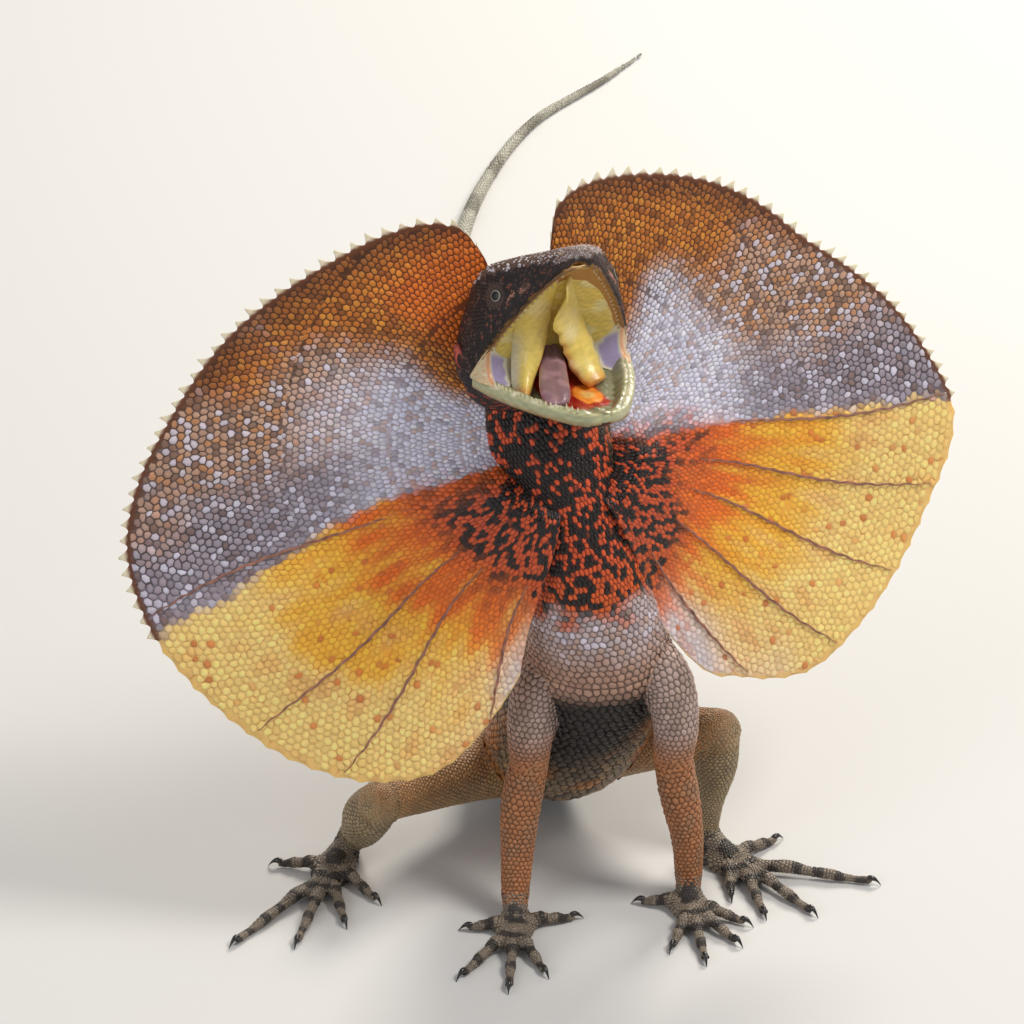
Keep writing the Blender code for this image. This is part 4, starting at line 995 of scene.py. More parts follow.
def lining(points):
    """Which points of the skin lie within the mouth: between palate and floor, inside both lips."""
    across, forward, upward = head_local(points).T
    head, jaw = np.array(HEAD_SECTIONS), np.array(JAW_SECTIONS)
    turn = math.radians(GAPE)
    reach = forward * math.cos(turn) - upward * math.sin(turn)
    lift = forward * math.sin(turn) + upward * math.cos(turn)
    lip = np.interp(forward, head[:, 0], head[:, 4]) - 0.7
    wide = np.interp(reach, jaw[:, 0], jaw[:, 2]) - 0.7
    over = upward - lip_line(forward)
    inside = (over < PALATE + 0.6) & (lift > -5.2) & (forward > -4.0) & (forward < 38.6) & (reach < 39.4)
    return inside & ((over < 0.2) | (np.abs(across) < lip)) & ((lift > 0.2) | (np.abs(across) < wide))


# Where each part's scales lie

def body_coat():
    """The cells of every scaled part with their colours, made once."""
    if "coat" in made:
        return made["coat"]
    coat = {}
    names = list(SPINE)
    plan = (("tail tip", "tail thin", 9), ("tail thin", "tail half", 13), ("tail half", "tail mid", 18),
            ("tail mid", "tail front", 22), ("tail front", "tail base", 28), ("tail base", "vent", 38),
            ("vent", "loin", 48), ("loin", "chest", 54), ("chest", "neck base", 58),
            ("neck base", "skull base", 82))
    groups = {"tail": [], "trunk": []}
    for start, end, count in plan:
        grid = spine_grid(start, end, 72, -COAT_DEPTH, 0.8)
        cells = lattice(grid, count, ratio=1.3 if start == "neck base" else 0.9)
        rows = np.interp(cells["place"][:, 0], (0, 1), (0, len(grid) - 1))
        middle = grid.mean(axis=1)[np.clip(rows.astype(int), 0, len(grid) - 1)]
        cells = seated(outward(cells, middle))
        cells["place"][:, 0] = (names.index(start) + cells["place"][:, 0]
                                * (names.index(end) - names.index(start))) / (len(names) - 1)
        groups["tail" if names.index(end) <= 9 else "trunk"].append(cells)
    for part, cells in groups.items():
        cells = merged(cells)
        coat[part] = (cells, trunk_tint(cells["centre"]))
    for side in ("left", "right"):
        for part, table, count in (("upper arm", UPPER_ARM, 24), ("forearm", FOREARM, 19),
                                   ("thigh", THIGH, 40), ("shank", SHANK, 28)):
            grid = limb_grid(table[side], 48, -COAT_DEPTH, 0.8)
            cells = lattice(grid, count)
            rows = cells["place"][:, 0] * (len(grid) - 1)
            cells = seated(outward(cells, grid.mean(axis=1)[rows.astype(int)]))
            fine = wander(cells["centre"], 8.0, 61)
            colour = blend(TONES[part], TONES["back"], 0.35 * step(-0.3, 1.0, fine))
            if part == "upper arm":
                colour = blend(colour, TONES["forearm"], step(66.0, 50.0, cells["centre"][:, 2]))
            if part == "thigh":
                colour = blend(colour, TONES["flank"], 0.25 * step(20.0, 34.0, cells["centre"][:, 2]))
            coat[part + " " + side] = (cells, colour)
    for name, (palm, ankle, toes) in feet(-FOOT_COAT_DEPTH).items():
        cells = [lattice(palm, 30), lattice(ankle, 20)]
        cells[0] = outward(cells[0], palm.mean(axis=(0, 1)) * np.array([1, 1, 0]))
        cells[1] = outward(cells[1], ankle.mean(axis=1)[(cells[1]["place"][:, 0]
                                                         * (len(ankle) - 1)).astype(int)])
        for root, tip in toes:
            grid = toe_grid(root, tip, 24, -FOOT_COAT_DEPTH)
            more = lattice(grid, 11)
            rows = (more["place"][:, 0] * (len(grid) - 1)).astype(int)
            cells.append(outward(more, grid.mean(axis=1)[rows]))
        cells = seated(merged(cells), 0.9)
        cells = picked(cells, cells["centre"][:, 2] > 0.35)
        fine = np.sin(np.hypot(cells["centre"][:, 0] - palm[..., 0].mean(),
                               cells["centre"][:, 1] - palm[..., 1].mean()) * 0.9)
        colour = blend(TONES["foot"], TONES["foot band"],
                       step(-0.1, 0.6, fine + 0.5 * wander(cells["centre"], 5.0, 62)))
        coat[name] = (cells, colour)
    grid = evened(head_grid(-COAT_DEPTH, 0.8)[:, 4:19], 121)
    cells = lattice(grid, 72, closed=False)
    cells = seated(outward(cells, head_place((0.0, 5.0, 14.0))))
    local = head_local(cells["centre"])
    far = np.ones(len(local), bool)
    gaze = unit(EYE_GAZE)
    for sign in (1.0, -1.0):
        lid = (np.array(EYE_AT) + 3.0 * gaze) * np.array([sign, 1.0, 1.0])
        far &= np.linalg.norm(local - lid, axis=1) > LID_RADIUS + 0.5
        far &= np.linalg.norm(local - np.array([sign * EAR_AT[0], EAR_AT[1], EAR_AT[2]]), axis=1) > EAR_RADIUS
        far &= np.linalg.norm(local - np.array([sign * NOSTRIL_AT[0], NOSTRIL_AT[1], NOSTRIL_AT[2]]),
                              axis=1) > 1.1
    cells = picked(cells, far)
    local = head_local(cells["centre"])
    top = np.interp(local[:, 1], [row[0] for row in HEAD_SECTIONS], [row[1] for row in HEAD_SECTIONS])
    high = local[:, 2] > top - 3.0
    coat["roof"] = (picked(cells, high), head_tint(cells["centre"])[high])
    coat["head"] = (picked(cells, ~high), head_tint(cells["centre"])[~high])
    rows = jaw_rows(0.8)
    half = jaw_half(rows, -COAT_DEPTH)[:, :5]
    strip = np.concatenate((half[:, ::-1], half[:, 1:] * np.array([-1.0, 1.0])), axis=1)
    reach = np.broadcast_to(rows[:, :1], strip.shape[:2])
    share = np.broadcast_to(rows[:, 1:2], strip.shape[:2])
    grid = evened(jaw_place(reach, share, strip[..., 0], strip[..., 1]), 101)
    cells = lattice(grid, 54, closed=False)
    cells = seated(outward(cells, head_place((0.0, 12.0, -2.0))))
    local = head_local(cells["centre"])
    turn = math.radians(GAPE)
    over = local[:, 1] * math.sin(turn) + local[:, 2] * math.cos(turn)
    cells = picked(cells, (over < -1.9) | (local[:, 1] < 1.5))
    coat["jaw"] = (cells, jaw_tint(cells["centre"]))
    made["coat"] = coat
    return coat


FLESH_NODES = ("head", "lower_jaw", "neck", "chest", "belly", "pelvis", "tail_base", "tail_front",
               "tail_middle",
               "tail_rear", "tail_tip") + tuple(
    part + "_" + side for part in ("upper_arm", "forearm", "hand", "thigh", "shank", "foot")
    for side in ("left", "right"))


class LizardSizes(bpy.types.PropertyGroup):
    """Sizes and colours that a user would change."""
    scale_height: bpy.props.FloatProperty(
        name="Scale height", description="Height of a body scale as a share of its size", default=0.26,
        min=0.0, max=1.0)
    frill_scale_height: bpy.props.FloatProperty(
        name="Frill scale height", description="Height of a frill scale as a share of its size", default=0.15,
        min=0.0, max=1.0)
    edge_brightness: bpy.props.FloatProperty(
        name="Edge brightness", description="Brightness of the skin between the scales", default=0.3, min=0.0,
        max=1.0)
    skin_grain: bpy.props.FloatProperty(
        name="Skin voxel", description="Fineness of the seamless skin", default=0.0012, unit="LENGTH",
        subtype="DISTANCE")
    key_light: bpy.props.FloatProperty(
        name="Key light", description="Power of the main light", default=16.0, min=0.0, unit="POWER")
    floor_colour: bpy.props.FloatVectorProperty(
        name="Floor colour", description="Colour of the plain floor", default=(0.62, 0.61, 0.59),
        subtype="COLOR")


class LizardPiece:
    """What the operators share."""
    bl_options = {"REGISTER", "UNDO"}

    def execute(self, context):
        self.build(context.scene.lizard)
        return {"FINISHED"}


class LIZARD_OT_skin(LizardPiece, bpy.types.Operator):
    """One seamless skin over head, trunk, tail, legs and feet, inside the solids by the scales' height"""
    bl_idname = "lizard.skin"
    bl_label = "Skin"

    def build(self, sizes):
        bodies = [tube(spine_grid("tail tip", "skull base", 48, -COAT_DEPTH, 1.2)),
                  tube(head_grid(-COAT_DEPTH)), tube(jaw_grid(-COAT_DEPTH))]
        for side in ("left", "right"):
            for table in (UPPER_ARM, FOREARM, THIGH, SHANK):
                bodies.append(tube(limb_grid(table[side], 32, -COAT_DEPTH, 1.5)))
        for palm, ankle, toes in feet(-FOOT_COAT_DEPTH).values():
            bodies += [tube(palm), tube(ankle)] + [tube(toe_grid(root, tip, 12, -FOOT_COAT_DEPTH)) for root,
                                                   tip in toes]
        points, faces = joined(bodies)
        skin = mesh_piece("skin", points, [faces])
        turned_out(skin)
        remesh = skin.modifiers.new("One skin", "REMESH")
        remesh.mode = "VOXEL"
        remesh.voxel_size = sizes.skin_grain
        soften = skin.modifiers.new("Soften", "SMOOTH")
        soften.factor = 0.5
        soften.iterations = 3
        mesh = bpy.data.meshes.new_from_object(skin.evaluated_get(bpy.context.evaluated_depsgraph_get()))
        skin.modifiers.clear()
        skin.data = mesh
        mesh.name = "skin"
        mesh.polygons.foreach_set("use_smooth", np.ones(len(mesh.polygons), bool))
        count = len(mesh.vertices)
        place = np.empty(count * 3)
        mesh.vertices.foreach_get("co", place)
        place = place.reshape(-1, 3) / MM - HOME
        corners = [tuple(face.vertices) for face in mesh.polygons]
        made["tree"] = BVHTree.FromPolygons([tuple(point) for point in place], corners)
        coat = body_coat()
        centres = np.concatenate([cells["centre"] for cells, _ in coat.values()])
        tints = np.concatenate([tint for _, tint in coat.values()])
        finder = KDTree(len(centres))
        for number, centre in enumerate(centres):
            finder.insert(centre, number)
        finder.balance()
        nearest = np.array([finder.find(point)[1:] for point in place])
        tint = tints[nearest[:, 0].astype(int)] * 0.45
        inside = np.where(head_local(place)[:, 2:] > 1.0, TONES["palate edge"] * 1.3, TONES["rim"] * 0.5)
        tint = np.where(lining(place)[:, None], inside, tint)
        set_tint(mesh, tint)
        tied(skin, finish("scaled_skin", 0.55, 0.2, 0.0008, 0.3), FLESH_NODES)


class LIZARD_OT_body_scales(LizardPiece, bpy.types.Operator):
    """Scales of the head, trunk, tail, legs and feet"""
    bl_idname = "lizard.body_scales"
    bl_label = "Body scales"

    def build(self, sizes):
        coat = body_coat()
        look = finish("body_scales", 0.42, 0.22, 0.0007, 0.3)
        pieces = (
            ("coat_tail", ("tail",), "tail_skin", 0.25, 0.2),
            ("coat_trunk", ("trunk",), "chest_skin", 0.0, 0.1),
            ("coat_arms", ("upper arm left", "upper arm right", "forearm left", "forearm right"),
             "foreleg_skin", 0.1, 0.2),
            ("coat_legs", ("thigh left", "thigh right", "shank left", "shank right"), "hind_leg_skin", 0.1,
             0.2),
            ("coat_feet", ("hand_left", "hand_right", "foot_left", "foot_right"), "foot_skin", 0.1, 0.2),
            ("coat_head", ("head", "roof"), "head_skin", 0.3, 0.1),
            ("coat_jaw", ("jaw",), "head_skin", 0.3, 0.1),
        )
        for name, parts, slot, keel, lean in pieces:
            groups = []
            for number, part in enumerate(parts):
                cells, tint = coat[part]
                keel, lean = (0.7, 0.5) if part == "roof" else (keel, lean)
                patch = (0.0, number / len(parts), 1.0, (number + 0.96) / len(parts))
                groups.append(plate_meshes(cells, tint, sizes.scale_height, sizes.edge_brightness, keel=keel,
                                           lean=lean,
                                           seed=number + 3, patch=patch))
            coat_piece(name, groups, look)


class LIZARD_OT_frill(LizardPiece, bpy.types.Operator):
    """Both lobes of the frill: a thin fold of skin with raised rays and a toothed rim"""
    bl_idname = "lizard.frill"
    bl_label = "Frill"

    def build(self, sizes):
        tree = made["tree"]
        made["roots"] = {}
        for side, sign in SIGN.items():
            table = np.array(OUTLINES[side])
            fine = np.linspace(table[0, 0], table[-1, 0], 900)
            rim = rim_radius(side, fine)
            run = chords(np.column_stack((rim * np.sin(np.radians(fine)), rim * np.cos(np.radians(fine)))))
            count = round(run[-1] / 0.62)
            even = np.linspace(0.0, run[-1], count)
            angle = np.interp(even, run, fine)
            rim = rim_radius(side, angle)
            turn_over = np.interp(TOOTHED_TO, fine, run)
            pitch = turn_over / round(turn_over / TOOTH_PITCH)
            notch = (run[-1] - turn_over) / round((run[-1] - turn_over) / NOTCH_PITCH)
            upper = even < turn_over
            where = np.where(upper, even / pitch, (even - turn_over) / notch)
            draw = np.random.default_rng(9 if side == "left" else 10)
            vary = draw.uniform(0.75, 1.2, 200)[where.astype(int)]
            tooth = (1.0 - np.abs(2.0 * np.mod(where, 1.0) - 1.0)) ** 1.7
            tall = np.where(upper, TOOTH_HEIGHT, NOTCH_HEIGHT) * tooth * vary
            roots = []
            for a, r in zip(angle[::10], rim[::10]):
                inward = np.linspace(r * 0.92, 8.0, 40)
                line = frill_point(np.full(40, a), inward, sign)
                found = 8.0
                for near, start, end in zip(inward, line[:-1], line[1:]):
                    hit = tree.ray_cast(Vector(start), Vector(unit(end - start)), np.linalg.norm(end - start))
                    if hit[0] is not None:
                        found = max(near - 4.5, 8.0)
                        break
                roots.append(found)
            root = np.interp(angle, angle[::10], np.array(roots))
            made["roots"][side] = (angle, root)
            rows = np.linspace(0.0, 1.0, 46)
            radius = root + (rim - root) * rows[:, None]
            shares = np.array((0.25, 0.5, 0.75, 1.0))
            radius = np.concatenate((radius, rim + tall * shares[:, None]))
            wide = np.broadcast_to(angle, radius.shape)
            thick = np.concatenate((np.full(len(rows), FRILL_HALF), 0.30 - 0.2 * shares))[:, None]
            rise = ray_lift(side, wide, radius) * (radius < rim - 1.0)
            front = frill_point(wide, radius, sign, thick + rise)
            back = frill_point(wide, radius, sign, -thick - 0.3 * rise)
            loop = np.concatenate((front, back[:, ::-1]), axis=1)
            flip = sign > 0
            faces = grid_faces(loop.shape[0], loop.shape[1], True, flip)
            points = loop.reshape(-1, 3)
            total, half = loop.shape[1], front.shape[1]
            edge = []
            for row in (0, loop.shape[0] - 1):
                left = row * total + np.arange(half - 1)
                right = row * total + total - 1 - np.arange(half - 1)
                cap = np.stack((left, left + 1, right - 1, right), axis=1)
                edge.append(cap[:, ::-1] if (row == 0) != flip else cap)
            flat_angle = np.concatenate((wide, wide[:, ::-1]), axis=1).ravel()
            flat_radius = np.concatenate((radius, radius[:, ::-1]), axis=1).ravel()
            tint = frill_tint(side, flat_angle, flat_radius, points)
            whole = rim_radius(side, flat_angle)
            toothed = (flat_angle < TOOTHED_TO)[:, None]
            tint = tint * frill_gap(side, flat_angle, flat_radius)[:, None]
            margin = np.where(toothed, TONES["crown edge"] * 0.8, TONES["cream"] * 0.85)
            tint = blend(margin, tint, step(0.6, 1.8, whole - flat_radius))
            pale = np.where(toothed, TONES["gum white"], TONES["cream"] * 0.9)
            tint = blend(tint, pale, step(0.3, 1.1, flat_radius - whole))
            lobe = mesh_piece("frill_" + side, points, [faces] + edge, tint)
            nodes = tuple("frill_%s_%s" % (side, name) for name in ("crown", "side", "low", "throat"))
            tied(lobe, finish("frill_skin", 0.5, 0.15, 0.0012, 0.2, soft=0.25), nodes)


BANDS = ((12.0, 30.0, 2.9, 1.35), (30.0, 52.0, 1.9, 1.4), (52.0, 84.0, 1.45, 1.15), (84.0, 138.0, 1.2, 0.92))


def frill_cells(side, sign, face):
    """Rows of cells around the hub in four bands, clipped at the rim and at the root."""
    table = np.array(OUTLINES[side])
    low, high = table[0, 0], table[-1, 0]
    angles, root = made["roots"][side]
    groups = []
    for start, end, pitch, ratio in BANDS:
        columns = np.linspace(low, high, round((high - low) / 0.5))
        rings = np.linspace(start - 3.0, end + 3.0, round((end - start + 6.0) / 0.6))
        wide, radius = np.meshgrid(columns, rings)
        scale = 0.5 * (start + end)
        measure = np.stack((np.radians(wide) * scale, radius, np.zeros_like(wide)), axis=-1)
        count = round((high - low) / pitch)
        cells = lattice(measure, count, closed=False, ratio=ratio)
        for key in ("centre", "corners"):
            cells[key] = np.stack((np.degrees(cells[key][..., 0] / scale), cells[key][..., 1]), axis=-1)
        cells["place"][:, 0] = cells["centre"][:, 1] / FRILL_REACH
        cells = picked(cells, (cells["centre"][:, 1] >= start) & (cells["centre"][:, 1] < end))
        cells["corners"][..., 1] = np.clip(cells["corners"][..., 1], start - 0.35, end + 0.35)
        groups.append(cells)
    cells = merged(groups)
    rim = rim_radius(side, cells["centre"][:, 0]) - 0.5
    inner = np.interp(cells["centre"][:, 0], angles, root) + 1.0
    keep = (cells["centre"][:, 1] < rim - 0.7) & (cells["centre"][:, 1] > inner)
    cells = picked(cells, keep)
    corners = cells["corners"]
    corners[..., 1] = np.minimum(corners[..., 1], rim_radius(side, corners[..., 0]) - 0.5)
    corners[..., 0] = np.clip(corners[..., 0], low, high)
    angle, radius = cells["centre"][:, 0], cells["centre"][:, 1]

    def lifted(angle, radius):
        ray = ray_lift(side, angle, radius)
        lift = FRILL_HALF + ray if face > 0 else -FRILL_HALF - 0.3 * ray
        return frill_point(angle, radius, sign, lift)

    centre = lifted(angle, radius)
    ahead = lifted(angle, radius + 0.5) - lifted(angle, radius - 0.5)
    aside = lifted(angle + 0.4, radius) - lifted(angle - 0.4, radius)
    normal = unit(np.cross(aside, ahead))
    out = frill_axes()[2] * face
    normal = normal * np.sign(normal @ out)[:, None]
    placed = {"centre": centre, "corners": lifted(corners[..., 0], corners[..., 1]), "normal": normal,
              "along": -unit(ahead), "place": cells["place"]}
    return placed, angle, radius


class LIZARD_OT_frill_rays(LizardPiece, bpy.types.Operator):
    """The thin purple-brown rays that stiffen the frill's lower half, raised over its scales"""
    bl_idname = "lizard.frill_rays"
    bl_label = "Frill rays"

    def build(self, sizes):
        roll = circle(8)
        for side, sign in SIGN.items():
            bodies = []
            for ray in RAYS[side]:
                start = 46.0 if ray > 110.0 else 58.0
                share = np.linspace(0.0, 1.0, 90)
                radius = start + (float(rim_radius(side, np.array(ray))) - 2.0 - start) * share
                swell = 0.10 + 0.34 * np.sin(math.pi * np.clip(share * 1.05, 0.0, 1.0)) ** 0.5
                swell = swell * (1.0 + 0.25 * np.sin(radius * 1.9 + ray))
                bent = ray + 1.2 * np.sin(radius / 19.0 + ray) + 0.12 * np.sin(radius * 0.9)
                wide = np.degrees(swell / radius)[:, None] * np.cos(roll)
                lift = 0.62 + ray_lift(side, bent, radius)[:, None] + 0.30 * np.sin(roll)
                bodies.append(tube(frill_point(bent[:, None] + wide,
                                               np.broadcast_to(radius[:, None], wide.shape), sign, lift)))
            points, faces = joined(bodies)
            tint = TONES["ray"] * (1.0 + 0.25 * wander(points, 4.0, 95))[:, None]
            rays = turned_out(mesh_piece("frill_rays_" + side, points, [faces], tint))
            tied(rays, finish("frill_scales", 0.45, 0.18, 0.0010, 0.25, soft=0.2))


class LIZARD_OT_frill_scales(LizardPiece, bpy.types.Operator):
    """Scales on both faces of the frill"""
    bl_idname = "lizard.frill_scales"
    bl_label = "Frill scales"

    def build(self, sizes):
        look = finish("frill_scales", 0.45, 0.18, 0.0010, 0.25, soft=0.2)
        for side, sign in SIGN.items():
            for face, word in ((1.0, "front"), (-1.0, "back")):
                cells, angle, radius = frill_cells(side, sign, face)
                tint = frill_tint(side, angle, radius, cells["centre"])
                if face < 0:
                    tint = blend(tint, TONES["back"], np.full(len(tint), 0.6))
                border = frill_gap(side, angle, radius)[:, None]
                group = plate_meshes(cells, tint, sizes.frill_scale_height, border, inset=0.72, keel=0.2,
                                     lean=0.2,
                                     seed=17, sink=0.1)
                coat_piece("coat_frill_%s_%s" % (side, word), [group], look)


def gaze_frame(sign):
    """An eye's own axes as rows: the way it looks, then two square to it; sign is its side."""
    look = unit(np.array(EYE_GAZE) * np.array([sign, 1.0, 1.0])) @ head_axes()
    side = unit(np.cross(look, head_axes()[2]))
    return np.array([look, side, np.cross(look, side)])


class LIZARD_OT_eyes(LizardPiece, bpy.types.Operator):
    """Eyeballs with a dark round pupil in a narrow grey ring"""
    bl_idname = "lizard.eyes"
    bl_label = "Eyes"

    def build(self, sizes):
        tilt, turn = np.meshgrid(np.linspace(0.02, math.pi - 0.02, 90), circle(56), indexing="ij")
        local = np.stack((np.cos(tilt), np.sin(tilt) * np.cos(turn), np.sin(tilt) * np.sin(turn)), axis=-1)
        angle = np.degrees(tilt).ravel()
        black, grey, dark = tone(2, 2, 2), tone(150, 138, 118), tone(38, 31, 28)
        tint = blend(blend(black, grey, step(18.5, 20.0, angle)), dark, step(22.5, 25.5, angle))
        tint = tint * (1.0 + 0.2 * np.sin(turn.ravel() * 19.0) * step(20.0, 22.0, angle))[:, None]
        for side, sign in SIGN.items():
            centre = head_place(np.array(EYE_AT) * np.array([sign, 1.0, 1.0]))
            ball, caps = tube(centre + EYE_RADIUS * local @ gaze_frame(sign))
            eye = turned_out(mesh_piece("eye_ball_" + side, ball, [caps],
                                        np.concatenate((tint, [black, dark]))))
            tied(eye, finish("eye_surface", 0.36, 0.05, 0.0004, 0.0), ("eye_" + side,))


class LIZARD_OT_lids(LizardPiece, bpy.types.Operator):
    """Four rings of small beaded scales round each eye, each lower and wider than the last"""
    bl_idname = "lizard.lids"
    bl_label = "Eyelids"

    def build(self, sizes):
        rings = ((2.35, 3.30, 0.36, 22), (2.95, 3.15, 0.5, 20), (3.65, 2.8, 0.6, 20), (4.35, 2.15, 0.66, 22))
        turn = circle(176)
        roll = circle(10)
        for side, sign in SIGN.items():
            look, first, second = gaze_frame(sign)
            centre = head_place(np.array(EYE_AT) * np.array([sign, 1.0, 1.0]))
            bodies, tints = [], []
            for number, (radius, out, thick, beads) in enumerate(rings):
                bead = 0.72 + 0.28 * np.abs(np.cos(0.5 * beads * turn + number))
                outward = np.cos(turn)[:, None] * first + np.sin(turn)[:, None] * second
                middle = centre + look * out + outward * radius
                swell = (thick * bead)[:, None, None]
                ring = middle[:, None] + swell * (np.cos(roll)[None, :, None] * outward[:, None]
                                                  + np.sin(roll)[None, :, None] * look)
                a, b = np.meshgrid(np.arange(len(turn)), np.arange(len(roll)), indexing="ij")
                ahead, over = (a + 1) % len(turn), (b + 1) % len(roll)
                p, q, r, t = (x * len(roll) + y for x, y in ((a, b), (a, over), (ahead, over), (ahead, b)))
                faces = np.concatenate((np.stack((p, q, r), -1).reshape(-1, 3),
                                        np.stack((p, r, t), -1).reshape(-1, 3)))
                bodies.append((ring.reshape(-1, 3), faces))
                base = TONES["middle dark"] * (0.9, 0.62, 0.5, 0.4)[number]
                tints.append(np.repeat(base * (0.35 + 0.65 * step(0.74, 0.95, bead))[:, None], len(roll),
                                       axis=0))
            points, faces = joined(bodies)
            lids = turned_out(mesh_piece("eyelids_" + side, points, [faces], np.concatenate(tints)))
            tied(lids, finish("body_scales", 0.42, 0.22, 0.0007, 0.3))


class LIZARD_OT_ears(LizardPiece, bpy.types.Operator):
    """Eardrums set in their cups"""
    bl_idname = "lizard.ears"
    bl_label = "Eardrums"

    def build(self, sizes):
        axes = head_axes()
        for side, sign in SIGN.items():
            centre = head_place((sign * (EAR_AT[0] + 0.25), EAR_AT[1], EAR_AT[2]))
            rate, turn = np.meshgrid(np.linspace(0.03, 1.0, 14), circle(36), indexing="ij")
            dish = 0.5 * (1.0 - rate ** 2) * -1.0 + 0.5
            local = np.stack((sign * dish, 3.0 * rate * np.cos(turn), 3.7 * rate * np.sin(turn)), axis=-1)
            under = local.copy()
            under[..., 0] -= sign * 0.9
            points = centre + np.concatenate((local, under[::-1])) @ axes
            body, faces = tube(points)
            radial = np.concatenate((rate.ravel(), rate[::-1].ravel(), [0.0, 0.0]))
            tint = blend(tone(204, 92, 74), tone(120, 44, 36),
                         step(0.5, 1.0, radial + 0.25 * wander(body, 1.6, 71)))
            drum = turned_out(mesh_piece("eardrum_" + side, body, [faces], tint))
            tied(drum, finish("eardrum_skin", 0.4, 0.15, 0.0006, 0.2, soft=0.2),
                 ("ear_" + side,))


def lip_half(forward):
    """Half the width between the upper lips."""
    table = np.array(HEAD_SECTIONS)
    return np.interp(forward, table[:, 0], table[:, 4])


def jaw_size(reach):
    """Half width of the lower jaw and the depth of its vault."""
    table = np.array(JAW_SECTIONS)
    return np.interp(reach, table[:, 0], table[:, 2]), np.interp(reach, table[:, 0], table[:, 3])


def sheet_body(front, back, tint):
    """A thin body between two grids of points, joined row by row, and its tint."""
    body, faces = tube(np.concatenate((front, back[:, ::-1]), axis=1))
    tint = tint.reshape(front.shape)
    loop = np.concatenate((tint, tint[:, ::-1]), axis=1)
    ends = [loop[0].mean(axis=0), loop[-1].mean(axis=0)]
    return body, faces, np.concatenate((loop.reshape(-1, 3), ends))


def palate_body():
    """The roof of the mouth: vaulted by 1 less |s| to the power 2.4, with a gutter inside each lip."""
    forward, share = np.meshgrid(np.linspace(1.0, 38.6, 110), np.linspace(-1.0, 1.0, 81), indexing="ij")
    lip = lip_half(forward)
    vault = PALATE * np.clip(forward / PALATE_RISE, 0.0, 1.0) * step(42.0, 30.0, forward)
    gutter = 0.7 * np.exp(-((1.0 - np.abs(share)) * lip / 1.3 - 2.0) ** 2)
    height = vault * (1.0 - np.abs(share) ** 2.4) + gutter
    bead = 0.28 * np.sin(forward * 2.6) * np.exp(-((1.0 - np.abs(share)) * lip / 0.8 - 1.3) ** 2)
    across = share * (lip - 0.2)
    up = lip_line(forward) + height - 0.55 - bead
    front = head_place(np.stack((across, forward, up), axis=-1))
    back = head_place(np.stack((across * 0.985, forward, up + 0.9), axis=-1))
    edge = ((1.0 - np.abs(share)) * lip).ravel()
    ahead = forward.ravel()
    tint = blend(TONES["palate edge"], TONES["palate"],
                 step(1.9, 4.2, edge + 0.5 * wander(front.reshape(-1, 3), 6.0, 50)))
    tint = blend(tint, TONES["palate pale"],
                 step(0.1, 0.9, wander(front.reshape(-1, 3), 9.0, 52)) * step(3.0, 5.0, edge))
    tint = blend(tint, TONES["palate edge"] * 1.5,
                 0.7 * step(30.0, 37.0, ahead + 2.0 * np.abs(share.ravel())))
    tint = blend(tint, TONES["palate edge"] * 0.4, step(0.8, 0.1, edge))
    return sheet_body(front, back, tint * (1.0 + 0.10 * wander(front.reshape(-1, 3), 2.6, 53))[:, None])


